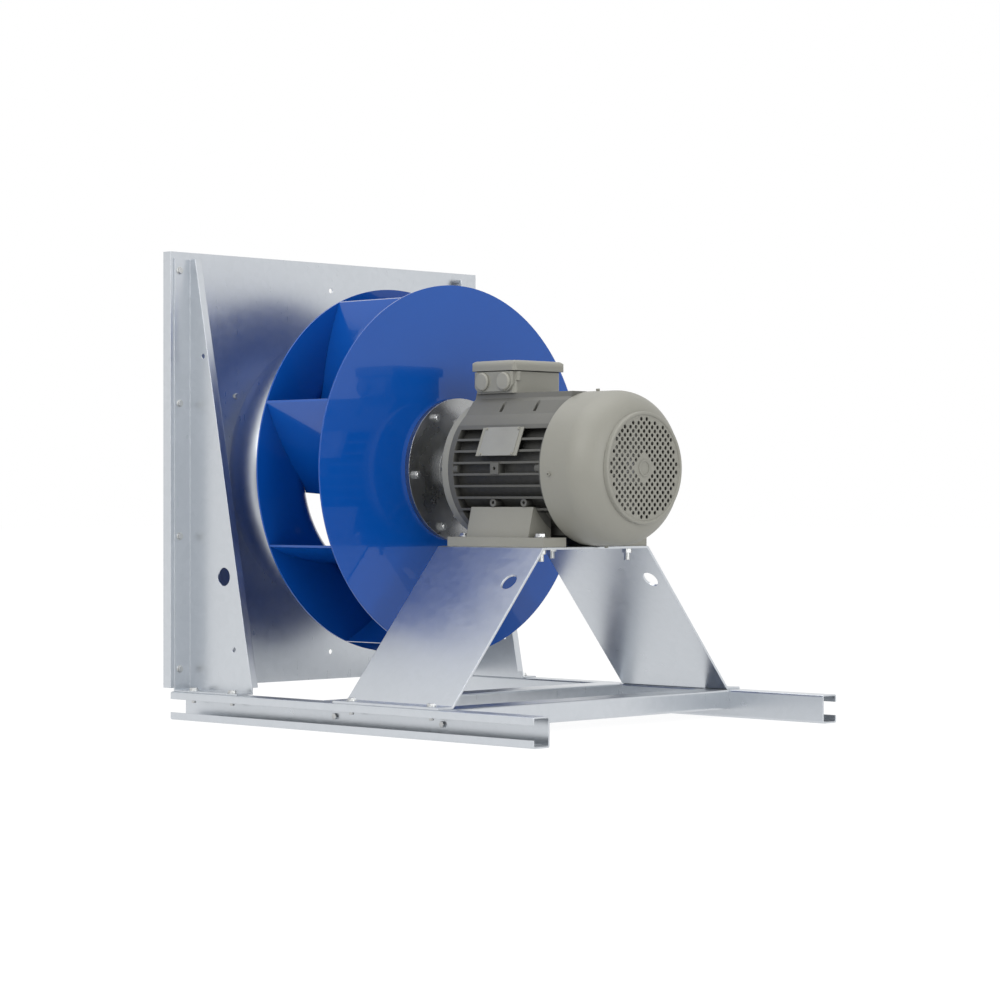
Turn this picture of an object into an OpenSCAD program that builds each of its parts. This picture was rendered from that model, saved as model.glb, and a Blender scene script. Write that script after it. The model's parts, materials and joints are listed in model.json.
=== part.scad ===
// Direct-drive plug fan: a backward-curved wheel on the shaft of a foot-mounted
// electric motor, with its inlet plate, nozzle, base rails and motor bridge.
// Millimetres. X runs along the shaft from the inlet to the motor's fan cover,
// Y across the base and Z up. The origin is on the floor under the middle.

/* [Wheel] */
// Diameter of the back disc and of the front shroud
wheel_d = 652; // [640:1:664]
// Width of the wheel's outlet, from the shroud's rim to the back disc
outlet_w = 159; // [150:1:168]
// Sheet thickness of the wheel
wheel_t = 3; // [2:0.5:4]
// Number of blades
blade_count = 8; // [6:1:9]
// Angle that one blade sweeps from its tip to its inner edge
blade_sweep = 36; // [30:1:40]
// Angle that one blade's arc turns through
blade_camber = 24; // [10:1:30]
// Inner diameter of the shroud's eye
eye_d = 374; // [364:1:380]
// Radius of the shroud's bend into the eye
eye_bend = 46; // [42:1:50]
// Slope of the shroud towards the eye
shroud_slope = 4; // [1:0.5:6]

/* [Hub] */
// Diameter of the hub's flange
hub_d = 252; // [240:1:264]
// Thickness of the hub's flange
hub_t = 10; // [8:1:12]
// Diameter of the hub's boss
boss_d = 104; // [100:1:110]
// Circle of the bolts that hold the back disc to the hub
hub_pcd = 220; // [212:1:226]
// Number of hub bolts
hub_bolt_count = 6; // [4:1:8]

/* [Inlet plate] */
// Width of the inlet plate
plate_w = 760; // [756:1:780]
// Height of the inlet plate
plate_h = 766; // [756:1:768]
// Sheet thickness of the inlet plate
plate_t = 2.5; // [2:0.5:4]
// Depth of the plate's folded edges
plate_fold = 20; // [16:1:30]
// Distance from the plate's face to the shroud's rim
plate_gap = 169; // [165:1:175]
// Diameter of the nozzle's mouth at the plate
mouth_d = 490; // [480:1:496]
// Circle of the screws that hold the nozzle
nozzle_pcd = 530; // [524:1:540]
// Radial gap between the nozzle and the eye
nozzle_gap = 3; // [2:0.5:6]
// Sheet thickness of the nozzle
nozzle_t = 2; // [1:0.5:3]
// Distance that the nozzle reaches into the eye
nozzle_lap = 10; // [4:1:12]

/* [Base] */
// Height of the shaft over the floor
axis_h = 438; // [436:1:450]
// Length of the base rails
rail_len = 877; // [860:1:900]
// Height of the base rails
rail_h = 49; // [46:1:50]
// Depth of the base rails
rail_w = 37; // [34:1:40]
// Height of the rails' lips
rail_lip = 13; // [10:1:15]
// Sheet thickness of the base
base_t = 2.5; // [2:0.5:3]
// Distance from a rail's ends to its floor holes
rail_hole_in = 87; // [60:1:100]
// Height of the cross members
cross_h = 34; // [30:1:38]
// Depth of the cross members
cross_w = 55; // [45:1:60]

/* [Gussets] */
// Height of the gussets over the rails
gusset_h = 760; // [740:1:766]
// Depth of a gusset at its foot
gusset_foot = 168; // [160:1:180]
// Depth of a gusset at its head
gusset_head = 16; // [14:1:24]
// Width of a gusset's folded fixing strips
gusset_strip = 35; // [32:1:36]
// Width of a gusset's stiffening fold
gusset_lip = 14; // [10:1:20]
// Diameter of the cable hole in each gusset
gusset_hole_d = 32; // [24:1:40]

/* [Motor support] */
// Length of the motor support along the shaft
support_l = 248; // [244:1:270]
// Width of the support's platform
support_top_w = 260; // [256:1:280]
// Sheet thickness of the support
support_t = 4; // [3:0.5:5]
// Distance from the platform's inlet edge to the first motor bolt
support_lead = 42; // [38:1:44]
// Diameter of the hole in each leg
leg_hole_d = 30; // [20:1:36]

/* [Motor] */
// Height of the shaft over the motor's feet
motor_h = 132; // [130:1:134]
// Distance between the foot bolts across the motor
foot_a = 216; // [210:1:220]
// Distance between the foot bolts along the motor
foot_b = 178; // [170:1:184]
// Distance from the shaft's shoulder to the first foot bolt
foot_c = 89; // [87:1:91]
// Length of the shaft's free end
shaft_len = 80; // [76:1:84]
// Diameter of the shaft's free end
shaft_d = 38; // [36:1:39]
// Diameter over the motor's fins
fins_d = 240; // [236:1:244]
// Diameter of the motor's tube
tube_d = 212; // [208:1:216]
// Spacing of the fins
fin_pitch = 19.7; // [17:0.1:20]
// Thickness of a fin
fin_t = 4; // [3:0.5:6]
// Diameter of the fan cover
cover_d = 261; // [259:1:268]
// Length of the fan cover
cover_len = 113; // [110:1:120]
// Diameter of the raised ring round the fan cover's grille
grille_d = 188; // [180:1:192]
// Spacing of the grille's holes
grille_pitch = 9.6; // [8.5:0.1:14]
// Diameter of the grille's holes
grille_hole_d = 6.6; // [5:0.1:7]

/* [Terminal box] */
// Length of the terminal box along the motor
box_l = 95; // [92:1:102]
// Width of the terminal box
box_w = 116; // [112:1:122]
// Height of the terminal box without its lid
box_h = 37; // [35:1:42]
// Height of the lid
lid_h = 18; // [14:1:20]
// Thickness of the boss that carries the cable entries
entry_out = 5; // [4:0.5:7]
// Diameter of the cable entries' plugs
plug_d = 31; // [26:1:32]

/* [Hidden] */

$fn = 96;
// Overrun of every cut
over = 1;
// Gap between curved faces that seat on each other
seat = 0.05;
// Overlap of a folded sheet's flats and bends
fold_lap = 0.3;
// Gap between pieces of different bodies, and at welds
clear = 0.3;
// Radial clearance of a bolt in its hole
bolt_clear = 0.5;

// Shares of a bolt's diameter
head_af_share = 1.6;
head_h_share = 0.65;
nut_h_share = 0.8;
tip_share = 1.2;
socket_share = 0.5;

// Bolt and screw diameters
bolt_xs = 4;
bolt_s = 6;
bolt_m = 8;
bolt_l = 10;

// Places along the shaft
overall_l = plate_fold + rail_len;
x_face = plate_fold - overall_l / 2;
x_rim = x_face + plate_gap;
x_back = x_rim + outlet_w;
x_hub = x_back + hub_t;
hub_stand = 31;
x_shoulder = x_hub + hub_stand;
x_foot_1 = x_shoulder + foot_c;
x_foot_2 = x_foot_1 + foot_b;
x_support = x_foot_1 - support_lead;
x_support_end = x_support + support_l;
shield_in = 59;
shield_rim_w = 15;
x_housing = x_shoulder + shield_in;
housing_l = 226;
x_housing_end = x_housing + housing_l;
x_cover = x_housing_end + clear;
x_cover_end = x_cover + cover_len;

// Wheel
wheel_r = wheel_d / 2;
eye_r = eye_d / 2;
bend_r = eye_r + eye_bend;
bend_x = x_rim - eye_bend * cos(shroud_slope)
    - (wheel_r - bend_r + eye_bend * sin(shroud_slope)) * tan(shroud_slope);
eye_tube = 14;
inner_edge_back_share = 0.585;
inner_back_r = inner_edge_back_share * wheel_r;
blade_run_out = 3;
room_steps = 8;
bend_steps = 12;
inner_edge_angle = 135;
tip_angle = 24;
hub_bolt_angle = 35;
boss_in = 46;
boss_out = 12;

// Shaft and bearings
shaft_r = shaft_d / 2;
seat_r = 20;
rotor_seat_r = 24;
fan_seat_r = 17.5;
bearing_or = 40;
bearing_w = 18;
ball_d = 12;
ball_count = 9;
ball_pcd = 60;
race_land = 4;
race_gap = 0.03;
bearing_in = 21;
x_bearing_1 = x_shoulder + bearing_in;
bearing_out = 6;
x_bearing_2 = x_housing_end + bearing_out;
shaft_tail = 62;
x_tail = x_bearing_2 + bearing_w + shaft_tail;
stator_l = 150;
stator_in = 32;
stator_r = 100;
stator_bore_r = 68;
air_gap = 0.6;
x_stator = x_housing + stator_in;
winding_l = 24;
rotor_ring_l = 12;
bush_big_r = 38;
bush_small_r = 35;
bush_l = 54;
key_w = 10;
key_h = 8;
key_sunk = 5;
key_l = 48;
key_in = 8;
bush_flange_r = 50;
bush_flange_t = 8;
bush_screw_count = 3;
bush_screw_angle = 60;
bush_screw_r = 44;
washer_r = 30;
washer_t = 5;
screw_l_d = 12;
shaft_screw_l = 38;
shaft_screw_depth = 28;
fan_clip_in = 14;
x_clip = x_tail - fan_clip_in;
clip_t = 2;
clip_sunk = 1;

// Motor housing
fins_r = fins_d / 2;
tube_r = tube_d / 2;
fin_rows = 4;
smooth_z = (fin_rows - 0.5) * fin_pitch - fin_t / 2;
rim_l = 12;
roof_top = 130;
roof_half = 50;
roof_ledge = 121;
roof_ledge_half = 52;
roof_edge = 115.5;
roof_edge_half = 59;
roof_foot = 73;
roof_foot_half = 91;
low_fins = 5;
foot_bar_w = 55;
foot_bar_t = 16;
foot_over = 26;
foot_lead = 22;
foot_out = 21;
foot_block_l = 146;
foot_block_in = 34;
foot_block_top = 65;
foot_block_foot = 118;
foot_block_head = 105;
foot_block_back = 62;
foot_hole_r = 6;
foot_screw_places = [60, 154];
foot_screw_y = 88;
foot_screw_sunk = 14;
foot_screw_l = 52;
foot_screw_top = 64;
lug_r = 8.5;
lug_l = 22;
lug_face_r = 6.5;
screw_depth = 16;
square_pad_l = 19;
square_pad_x = 113;
square_pad_out = 2.5;
square_pad_hole = 12;
boss_pad_r = 7;
boss_pad_out = 107;
boss_pad_down = foot_block_top - boss_pad_r - clear;
boss_pad_places = [95, 167];
notch_places = [79.5, 159];
notch_r = 3.5;
notch_back = 62;
notch_low = 97;
notch_out = 30;

// Motor shields
shield_front = 5;
shield_hub_t = 10;
shield_step = 3;
shield_cone_share = 0.8;
shield_ribs = 4;
rib_t = 6;
rib_h = 8;
spigot_l = 8;
seal_bore_r = 28;
seal_nose = 3;
seal_w = 4;
fan_bore_r = 19;
cover_rim_l = 10;
cover_lug_l = 30;
cover_lug_in = 3;
winding_in = 4;
winding_round = 8;

// Fan cover
cover_t = 2;
cover_r = cover_d / 2;
cover_bend = 56;
ring_r = grille_d / 2;
ring_rise = 6;
ring_bead = 3;
ring_steps = 4;
grille_bead_r = 14;
grille_r = ring_r - 2 * ring_bead;
grille_t = 2;
grille_blank_r = 20;
cover_screw_in = 22;
cover_screw_turn = 4.6;
cover_screw_l = 9;
fan_r = 96;
fan_hub_r = 30;
fan_disc_t = 3;
fan_w = 34;
fan_blades = 7;
fan_blade_t = 3;

// Terminal box
box_in = 1;
box_x = x_housing + box_in;
box_y = -55;
box_z = axis_h + roof_top;
box_wall = 4;
box_corner = 8;
box_mid_y = box_y + box_w / 2;
wire_way_r = 20;
wire_way_x = box_in + box_l / 2;
gasket_t = 1.5;
lid_over = 5.5;
lid_round = 11;
lid_wall = 4;
lid_boss_r = 7;
lid_screw_seat = 8;
entry_in = 2;
entry_l = box_l - 2 * entry_in;
entry_low = 3;
entry_shares = [0.24, 0.8];
plug_head_t = 3;
plug_crown_t = 2;
plug_step = 2;
plug_l = entry_out + box_wall;
box_lug_r = 5;
box_lug_l = 16;
box_lug_in = 8.4;
block_l = 60;
block_w = 40;
block_h = 22;
block_step = 10;
post_r = 2.5;
post_h = 8;
post_pitch = 18;

// Nameplate
name_clock = 68;
name_x = 77;
name_l = 80;
name_w = 52;
name_t = 1;
name_stand = 1.8;
bracket_w = 14;
bracket_out = 8;
bracket_t = 1.4;
rivet_r = 1.5;
rivet_head_r = 2.5;
rivet_in = 3;

// Frame
rail_y = plate_w / 2;
web_y = rail_y - rail_w;
bend = base_t;
gusset_in = 5;
gusset_y = web_y - gusset_in;
gusset_toe = 12;
cable_hole_in = 94;
cable_hole_drop = 187;
fix_hole_head_in = 38;
fix_hole_rise = 199;
fix_hole_foot_in = 121;
fix_hole_drop = 313;
nozzle_screw_count = 6;
nozzle_rim = 35;
floor_hole_r = 5.5;
support_foot = 34;
support_bolt_in = 30;
gusset_bolt_rows = 4;
gusset_bolt_z = 700;
gusset_bolt_1 = 41;
gusset_bolt_2 = 144;
plate_hole_z = 333;
plate_hole_r = 4.5;
bolt_y = rail_y - rail_w / 2;
cross_in = 24;
cross_bolt_gap = 16;
cross_front_in = 4;
cross_rear_out = 3;
x_cross_front = x_support_end + cross_front_in;
x_cross_rear = x_support - cross_rear_out;
leg_hole_down = 73;
leg_hole_in = 34;

// Turns a shape drawn round Z so that it lies on the shaft, starting at x
module on_shaft(x) {
    translate([x, 0, axis_h]) rotate([0, 90, 0]) children();
}

// Places children at a clock angle round the shaft, counted from the top towards -Y
module clock(angle, r) {
    rotate([0, 0, 180 + angle]) translate([r, 0, 0]) children();
}

// Disc or tube on the shaft
module tube(l, r, bore = 0) {
    difference() {
        cylinder(h = l, r = r);
        if (bore > 0) translate([0, 0, -over]) cylinder(h = l + 2 * over, r = bore);
    }
}

// Sheet arc between two angles, at a radius to its middle line
module sheet_arc(r, t, a1, a2) {
    reach = 2 * (r + t);
    mid = (a1 + a2) / 2;
    intersection() {
        difference() {
            circle(r + t / 2);
            circle(r - t / 2);
        }
        polygon([
            [0, 0],
            [reach * cos(a1), reach * sin(a1)],
            [reach * cos(mid), reach * sin(mid)],
            [reach * cos(a2), reach * sin(a2)]
        ]);
    }
}

function unit(v) = v / norm(v);
function turn(u, v) = atan2(u[0] * v[1] - u[1] * v[0], u * v);
function trim(u, v, r) = r * tan(abs(turn(u, v)) / 2);

// Profile of a folded sheet along the points of its middle line
module folded(points, t, r) {
    n = len(points);
    dirs = [for (i = [0 : n - 2]) unit(points[i + 1] - points[i])];
    trims = [for (i = [0 : n - 1]) i == 0 || i == n - 1 ? 0 : trim(dirs[i - 1], dirs[i], r)];
    for (i = [0 : n - 2]) {
        start = points[i] + dirs[i] * max(trims[i] - fold_lap, 0);
        stop = points[i + 1] - dirs[i] * max(trims[i + 1] - fold_lap, 0);
        side = [-dirs[i][1], dirs[i][0]] * t / 2;
        polygon([start - side, stop - side, stop + side, start + side]);
    }
    for (i = [1 : n - 2]) {
        way = turn(dirs[i - 1], dirs[i]) > 0 ? 1 : -1;
        normal = [-dirs[i - 1][1], dirs[i - 1][0]] * way;
        centre = points[i] - dirs[i - 1] * trims[i] + normal * r;
        from = atan2(-normal[1], -normal[0]);
        translate(centre) sheet_arc(r, t, from, from + turn(dirs[i - 1], dirs[i]));
    }
}

// Rectangle with round corners
module rounded(l, w, r) {
    translate([r, 0]) square([l - 2 * r, w]);
    translate([0, r]) square([l, w - 2 * r]);
    for (x = [r, l - r], y = [r, w - r]) translate([x, y]) circle(r);
}

// Bolt whose head sits on z = 0, with its shank down and a nut under the grip
module bolt(d, grip) {
    cylinder(h = d * head_h_share, r = d * head_af_share / sqrt(3), $fn = 6);
    tip = grip + d * (nut_h_share + tip_share);
    translate([0, 0, -tip]) cylinder(h = tip, r = d / 2);
    translate([0, 0, -grip]) nut(d);
}

module nut(d) {
    difference() {
        translate([0, 0, -d * nut_h_share])
            cylinder(h = d * nut_h_share, r = d * head_af_share / sqrt(3), $fn = 6);
        translate([0, 0, -d * nut_h_share - over])
            cylinder(h = d * nut_h_share + 2 * over, r = d / 2 + seat);
    }
}

// Screw with a round head and a socket, head on z = 0 and shank down
module cap_screw(d, l) {
    difference() {
        union() {
            cylinder(h = d, r = d * head_af_share / 2);
            translate([0, 0, -l]) cylinder(h = l + over, r = d / 2);
        }
        translate([0, 0, d * socket_share])
            cylinder(h = d, r = d * socket_share, $fn = 6);
    }
}

// Round hole along Z through a plate
module hole(r, depth) {
    translate([0, 0, -over]) cylinder(h = depth + 2 * over, r = r);
}

// Blind round hole along Z, open at z = 0
module pocket(r, depth) {
    translate([0, 0, -over]) cylinder(h = depth + over, r = r);
}

// Frame
function gusset_bolt_level(i) =
    axis_h + gusset_bolt_z * (i / (gusset_bolt_rows - 1) - 0.5);

module plate_holes() {
    for (y = [-bolt_y, bolt_y], i = [0 : gusset_bolt_rows - 1])
        translate([x_face - plate_t, y, gusset_bolt_level(i)])
            rotate([0, 90, 0]) hole(bolt_s / 2 + bolt_clear, plate_t + base_t);
    for (z = [-plate_hole_z, plate_hole_z])
        translate([x_face - plate_t, 0, axis_h + z]) rotate([0, 90, 0]) hole(plate_hole_r, plate_t);
}

module at_nozzle_screws() {
    for (i = [0 : nozzle_screw_count - 1])
        clock(i * 360 / nozzle_screw_count, nozzle_pcd / 2) children();
}

module nozzle_plate() {
    inner_w = plate_w - 2 * plate_t;
    inner_h = plate_h - 2 * plate_t;
    color("#c3c7cc") difference() {
        translate([x_face - plate_fold, -plate_w / 2, axis_h - plate_h / 2])
            cube([plate_fold, plate_w, plate_h]);
        translate([x_face - plate_fold - over, -inner_w / 2, axis_h - inner_h / 2])
            cube([plate_fold - plate_t + over, inner_w, inner_h]);
        on_shaft(x_face - plate_t) {
            hole(mouth_d / 2 + clear, plate_t);
            at_nozzle_screws() hole(bolt_s / 2 + bolt_clear, plate_t);
        }
        plate_holes();
    }
}

// The nozzle is a ring, a bend and a straight throat, drawn with r across and x up
module nozzle_profile() {
    mouth_r = mouth_d / 2;
    throat_r = eye_r - nozzle_gap;
    fold_r = mouth_r - throat_r + nozzle_t / 2;
    throat_end = bend_x + nozzle_lap - (x_face - plate_t) - eye_tube;
    translate([mouth_r, -nozzle_t]) square([nozzle_rim, nozzle_t]);
    translate([mouth_r, fold_r - nozzle_t / 2]) sheet_arc(fold_r, nozzle_t, 180, 270);
    translate([throat_r - nozzle_t, fold_r - nozzle_t / 2])
        square([nozzle_t, throat_end - fold_r + nozzle_t / 2]);
}

module inlet_nozzle() {
    color("#b9bdc2") on_shaft(x_face - plate_t) difference() {
        rotate_extrude() nozzle_profile();
        translate([0, 0, -nozzle_t]) at_nozzle_screws() hole(bolt_s / 2 + bolt_clear, nozzle_t);
    }
}

module nozzle_screws() {
    color("#d0d2d4") on_shaft(x_face) at_nozzle_screws() bolt(bolt_s, plate_t + nozzle_t);
}

module gusset_plate() {
    top = rail_h + gusset_h;
    slope = unit([gusset_head - gusset_foot, gusset_h - gusset_toe]);
    inward = [-slope[1], slope[0]] * base_t;
    low = [x_face + gusset_foot, rail_h + gusset_toe];
    high = [x_face + gusset_head, top];
    difference() {
        union() {
            translate([0, base_t - gusset_y, 0]) rotate([90, 0, 0]) linear_extrude(base_t)
                polygon([[x_face, rail_h], [x_face + gusset_foot, rail_h], low, high, [x_face, top]]);
            translate([0, gusset_lip - gusset_y, 0]) rotate([90, 0, 0]) linear_extrude(gusset_lip)
                polygon([low, high, high + inward, low + inward]);
            translate([x_face, -gusset_y - gusset_strip, rail_h])
                cube([base_t, gusset_strip + base_t, gusset_h]);
            translate([x_face, -gusset_y - gusset_strip, rail_h])
                cube([gusset_foot, gusset_strip + base_t, base_t]);
        }
        plate_holes();
        for (x = [gusset_bolt_1, gusset_bolt_2])
            translate([x_face + x, -bolt_y, rail_h]) hole(bolt_m / 2 + bolt_clear, base_t);
        translate([x_face + cable_hole_in, base_t - gusset_y, axis_h - cable_hole_drop])
            rotate([90, 0, 0]) hole(gusset_hole_d / 2, base_t);
        for (p = [[fix_hole_head_in, fix_hole_rise], [fix_hole_foot_in, -fix_hole_drop]])
            translate([x_face + p[0], base_t - gusset_y, axis_h + p[1]])
                rotate([90, 0, 0]) hole(plate_hole_r, base_t);
    }
}

module gusset_left() {
    color("#c3c7cc") gusset_plate();
}

module gusset_right() {
    color("#c3c7cc") mirror([0, 1, 0]) gusset_plate();
}

module gusset_bolts() {
    color("#d0d2d4") for (side = [-1, 1]) {
        for (i = [0 : gusset_bolt_rows - 1])
            translate([x_face + base_t, side * bolt_y, gusset_bolt_level(i)])
                rotate([0, 90, 0]) bolt(bolt_s, base_t + plate_t);
        for (x = [gusset_bolt_1, gusset_bolt_2])
            translate([x_face + x, side * bolt_y, rail_h + base_t]) bolt(bolt_m, 2 * base_t);
    }
}

module rail_profile() {
    out = rail_y - base_t / 2;
    in = web_y + base_t / 2;
    top = rail_h - base_t / 2;
    folded([
        [-out, rail_h - rail_lip], [-out, top], [-in, top],
        [-in, base_t / 2], [-out, base_t / 2], [-out, rail_lip]
    ], base_t, bend);
}

module at_cross_bolts() {
    for (x = [x_cross_rear, x_cross_front], z = [-0.5, 0.5])
        translate([x - cross_in, 0, rail_h - cross_h / 2 + z * cross_bolt_gap]) children();
}

module rail() {
    difference() {
        translate([x_face, 0, 0]) rotate([90, 0, 90]) linear_extrude(rail_len) rail_profile();
        for (x = [x_face + gusset_bolt_1, x_face + gusset_bolt_2,
                x_support + support_bolt_in, x_support_end - support_bolt_in])
            translate([x, -bolt_y, rail_h - base_t]) hole(bolt_m / 2 + bolt_clear, base_t);
        for (x = [rail_hole_in, rail_len - rail_hole_in])
            translate([x_face + x, -bolt_y, 0]) hole(floor_hole_r, base_t);
        at_cross_bolts() translate([0, -web_y, 0]) rotate([90, 0, 0])
            hole(bolt_s / 2 + bolt_clear, base_t);
    }
}

module rail_left() {
    color("#c6c9cd") rail();
}

module rail_right() {
    color("#c6c9cd") mirror([0, 1, 0]) rail();
}

module cross_member(x) {
    half = web_y - base_t;
    mid = base_t / 2;
    difference() {
        union() {
            translate([0, half, 0]) rotate([90, 0, 0]) linear_extrude(2 * half) folded([
                [x - cross_w, rail_h - mid], [x - mid, rail_h - mid],
                [x - mid, rail_h - cross_h + mid], [x - cross_w, rail_h - cross_h + mid]
            ], base_t, bend);
            for (y = [-web_y, half])
                translate([x - cross_w, y, rail_h - cross_h])
                    cube([cross_w, base_t, cross_h]);
        }
        at_cross_bolts() for (y = [-half, web_y])
            translate([0, y, 0]) rotate([90, 0, 0]) hole(bolt_s / 2 + bolt_clear, base_t);
    }
}

module cross_member_front() {
    color("#c3c6ca") cross_member(x_cross_front);
}

module cross_member_rear() {
    color("#c3c6ca") cross_member(x_cross_rear);
}

module cross_member_bolts() {
    color("#d0d2d4") at_cross_bolts() for (side = [-1, 1])
        translate([0, side * (web_y + base_t), 0]) rotate([side * -90, 0, 0])
            bolt(bolt_s, 2 * base_t);
}

module motor_support() {
    top = axis_h - motor_h - support_t / 2;
    low = rail_h + support_t / 2;
    half = support_top_w / 2;
    leg = [web_y - half, low - top];
    spot = unit(leg) * leg_hole_down;
    color("#c5c9ce") difference() {
        translate([x_support, 0, 0]) rotate([90, 0, 90]) linear_extrude(support_l) folded([
            [-web_y - support_foot, low], [-web_y, low], [-half, top],
            [half, top], [web_y, low], [web_y + support_foot, low]
        ], support_t, support_t);
        for (side = [-1, 1]) {
            for (x = [x_foot_1, x_foot_2])
                translate([x, side * foot_a / 2, top - support_t / 2])
                    hole(bolt_l / 2 + bolt_clear, support_t);
            for (x = [x_support + support_bolt_in, x_support_end - support_bolt_in])
                translate([x, side * bolt_y, rail_h]) hole(bolt_m / 2 + bolt_clear, support_t);
            translate([x_support_end - leg_hole_in, side * (half + spot[0]), top + spot[1]])
                rotate([-side * atan2(-leg[1], leg[0]), 0, 0])
                    translate([0, 0, -support_t]) cylinder(h = 2 * support_t, r = leg_hole_d / 2);
        }
    }
}

module support_bolts() {
    color("#d0d2d4") for (side = [-1, 1], x = [x_support + support_bolt_in, x_support_end - support_bolt_in])
        translate([x, side * bolt_y, rail_h + support_t]) bolt(bolt_m, support_t + base_t);
}

// Motor, standing parts
module motor_bolts() {
    color("#d9dadb") for (side = [-1, 1], x = [x_foot_1, x_foot_2])
        translate([x, side * foot_a / 2, axis_h - motor_h + foot_bar_t])
            bolt(bolt_l, foot_bar_t + support_t);
}

module at_shield_screws() {
    for (i = [0 : 3]) clock(i * 90, fins_r - lug_r) children();
}

module fins() {
    for (side = [-1, 1], i = [0 : fin_rows - 1])
        translate([side * (i + 0.5) * fin_pitch - fin_t / 2, -fins_r, 0])
            cube([fin_t, 2 * fins_r, housing_l]);
    for (i = [0 : low_fins - 1])
        translate([0, (i - (low_fins - 1) / 2) * fin_pitch - fin_t / 2, 0])
            cube([fins_r, fin_t, housing_l]);
    translate([-fins_r, -fins_r, 0]) cube([fins_r - smooth_z, 2 * fins_r, housing_l]);
    for (y = [-fins_r, foot_block_back])
        translate([foot_block_top, y, x_foot_1 - foot_lead + foot_block_in - x_housing])
            cube([fins_r, fins_r - foot_block_back, foot_block_l]);
}

// Section of the housing's roof, which carries the terminal box; up is -x here
module roof_profile() {
    side = [
        [roof_top, roof_half], [roof_ledge, roof_ledge_half],
        [roof_edge, roof_edge_half], [roof_foot, roof_foot_half]
    ];
    n = len(side);
    polygon(concat([for (p = side) [-p[0], p[1]]], [for (i = [1 : n]) -side[n - i]]));
}

module motor_housing() {
    bar = x_foot_1 - foot_lead;
    color("#a3a397") on_shaft(x_housing) difference() {
        union() {
            cylinder(h = housing_l, r = tube_r);
            intersection() {
                cylinder(h = housing_l, r = fins_r);
                fins();
            }
            for (z = [0, housing_l - rim_l]) translate([0, 0, z]) cylinder(h = rim_l, r = fins_r);
            for (z = [0, housing_l - lug_l]) translate([0, 0, z]) at_shield_screws()
                cylinder(h = lug_l, r = lug_r);
            linear_extrude(housing_l) roof_profile();
            translate([-square_pad_l / 2, -fins_r - square_pad_out, square_pad_x - square_pad_l / 2])
                cube([square_pad_l, fins_r, square_pad_l]);
            for (z = boss_pad_places) translate([boss_pad_down, 0, z]) rotate([90, 0, 0])
                cylinder(h = boss_pad_out, r = boss_pad_r);
        }
        translate([0, 0, -over]) cylinder(h = housing_l + 2 * over, r = stator_r + seat);
        for (z = [0, housing_l - screw_depth]) translate([0, 0, z])
            at_shield_screws() hole(bolt_s / 2 + seat, screw_depth);
        for (z = boss_pad_places) translate([boss_pad_down, -boss_pad_out, z]) rotate([-90, 0, 0])
            pocket(bolt_s / 2, square_pad_hole);
        translate([-roof_top - over, box_mid_y, wire_way_x]) rotate([0, 90, 0])
            cylinder(h = roof_top, r = wire_way_r);
        translate([0, -fins_r - square_pad_out, square_pad_x]) rotate([-90, 0, 0])
            pocket(bolt_s / 2, square_pad_hole);
        for (side = [-1, 1], z = notch_places) translate([-roof_top - over, side * notch_back, z]) {
            rotate([0, 90, 0]) cylinder(h = roof_top + over - notch_low, r = notch_r);
            translate([0, (side - 1) / 2 * notch_out, -notch_r])
                cube([roof_top + over - notch_low, notch_out, 2 * notch_r]);
        }
        for (side = [-1, 1], z = foot_screw_places)
            translate([foot_screw_top, side * foot_screw_y, bar - x_housing + z])
                rotate([0, 90, 0]) cylinder(h = motor_h, r = bolt_m / 2 + seat);
    }
}

module foot(side) {
    bar = x_foot_1 - foot_lead;
    bar_l = foot_lead + foot_b + foot_over;
    low = axis_h - motor_h;
    outer = foot_a / 2 + foot_out;
    difference() {
        union() {
            translate([bar, side * (outer - foot_bar_w / 2) - foot_bar_w / 2, low])
                cube([bar_l, foot_bar_w, foot_bar_t]);
            translate([bar + foot_block_in, 0, 0]) rotate([90, 0, 90]) linear_extrude(foot_block_l)
                polygon([
                    [side * foot_block_foot, low + foot_bar_t],
                    [side * foot_block_head, axis_h - foot_block_top],
                    [side * foot_block_back, axis_h - foot_block_top],
                    [side * foot_block_back, low],
                    [side * foot_block_foot, low]
                ]);
        }
        on_shaft(bar) translate([0, 0, -over]) cylinder(h = bar_l + 2 * over, r = fins_r + seat);
        for (x = [x_foot_1, x_foot_2])
            translate([x, side * foot_a / 2, low]) hole(foot_hole_r, foot_bar_t);
        for (x = foot_screw_places) translate([bar + x, side * foot_screw_y, low]) {
            hole(bolt_m / 2 + bolt_clear, motor_h);
            pocket(bolt_m * head_af_share / 2 + bolt_clear, foot_screw_sunk);
        }
    }
}

module foot_left() {
    color("#98988d") foot(-1);
}

module foot_right() {
    color("#98988d") foot(1);
}

module foot_screws() {
    bar = x_foot_1 - foot_lead;
    color("#5b5c5e") for (side = [-1, 1], x = foot_screw_places)
        translate([bar + x, side * foot_screw_y, axis_h - motor_h + foot_screw_sunk])
            mirror([0, 0, 1]) cap_screw(bolt_m, foot_screw_l);
}

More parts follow.
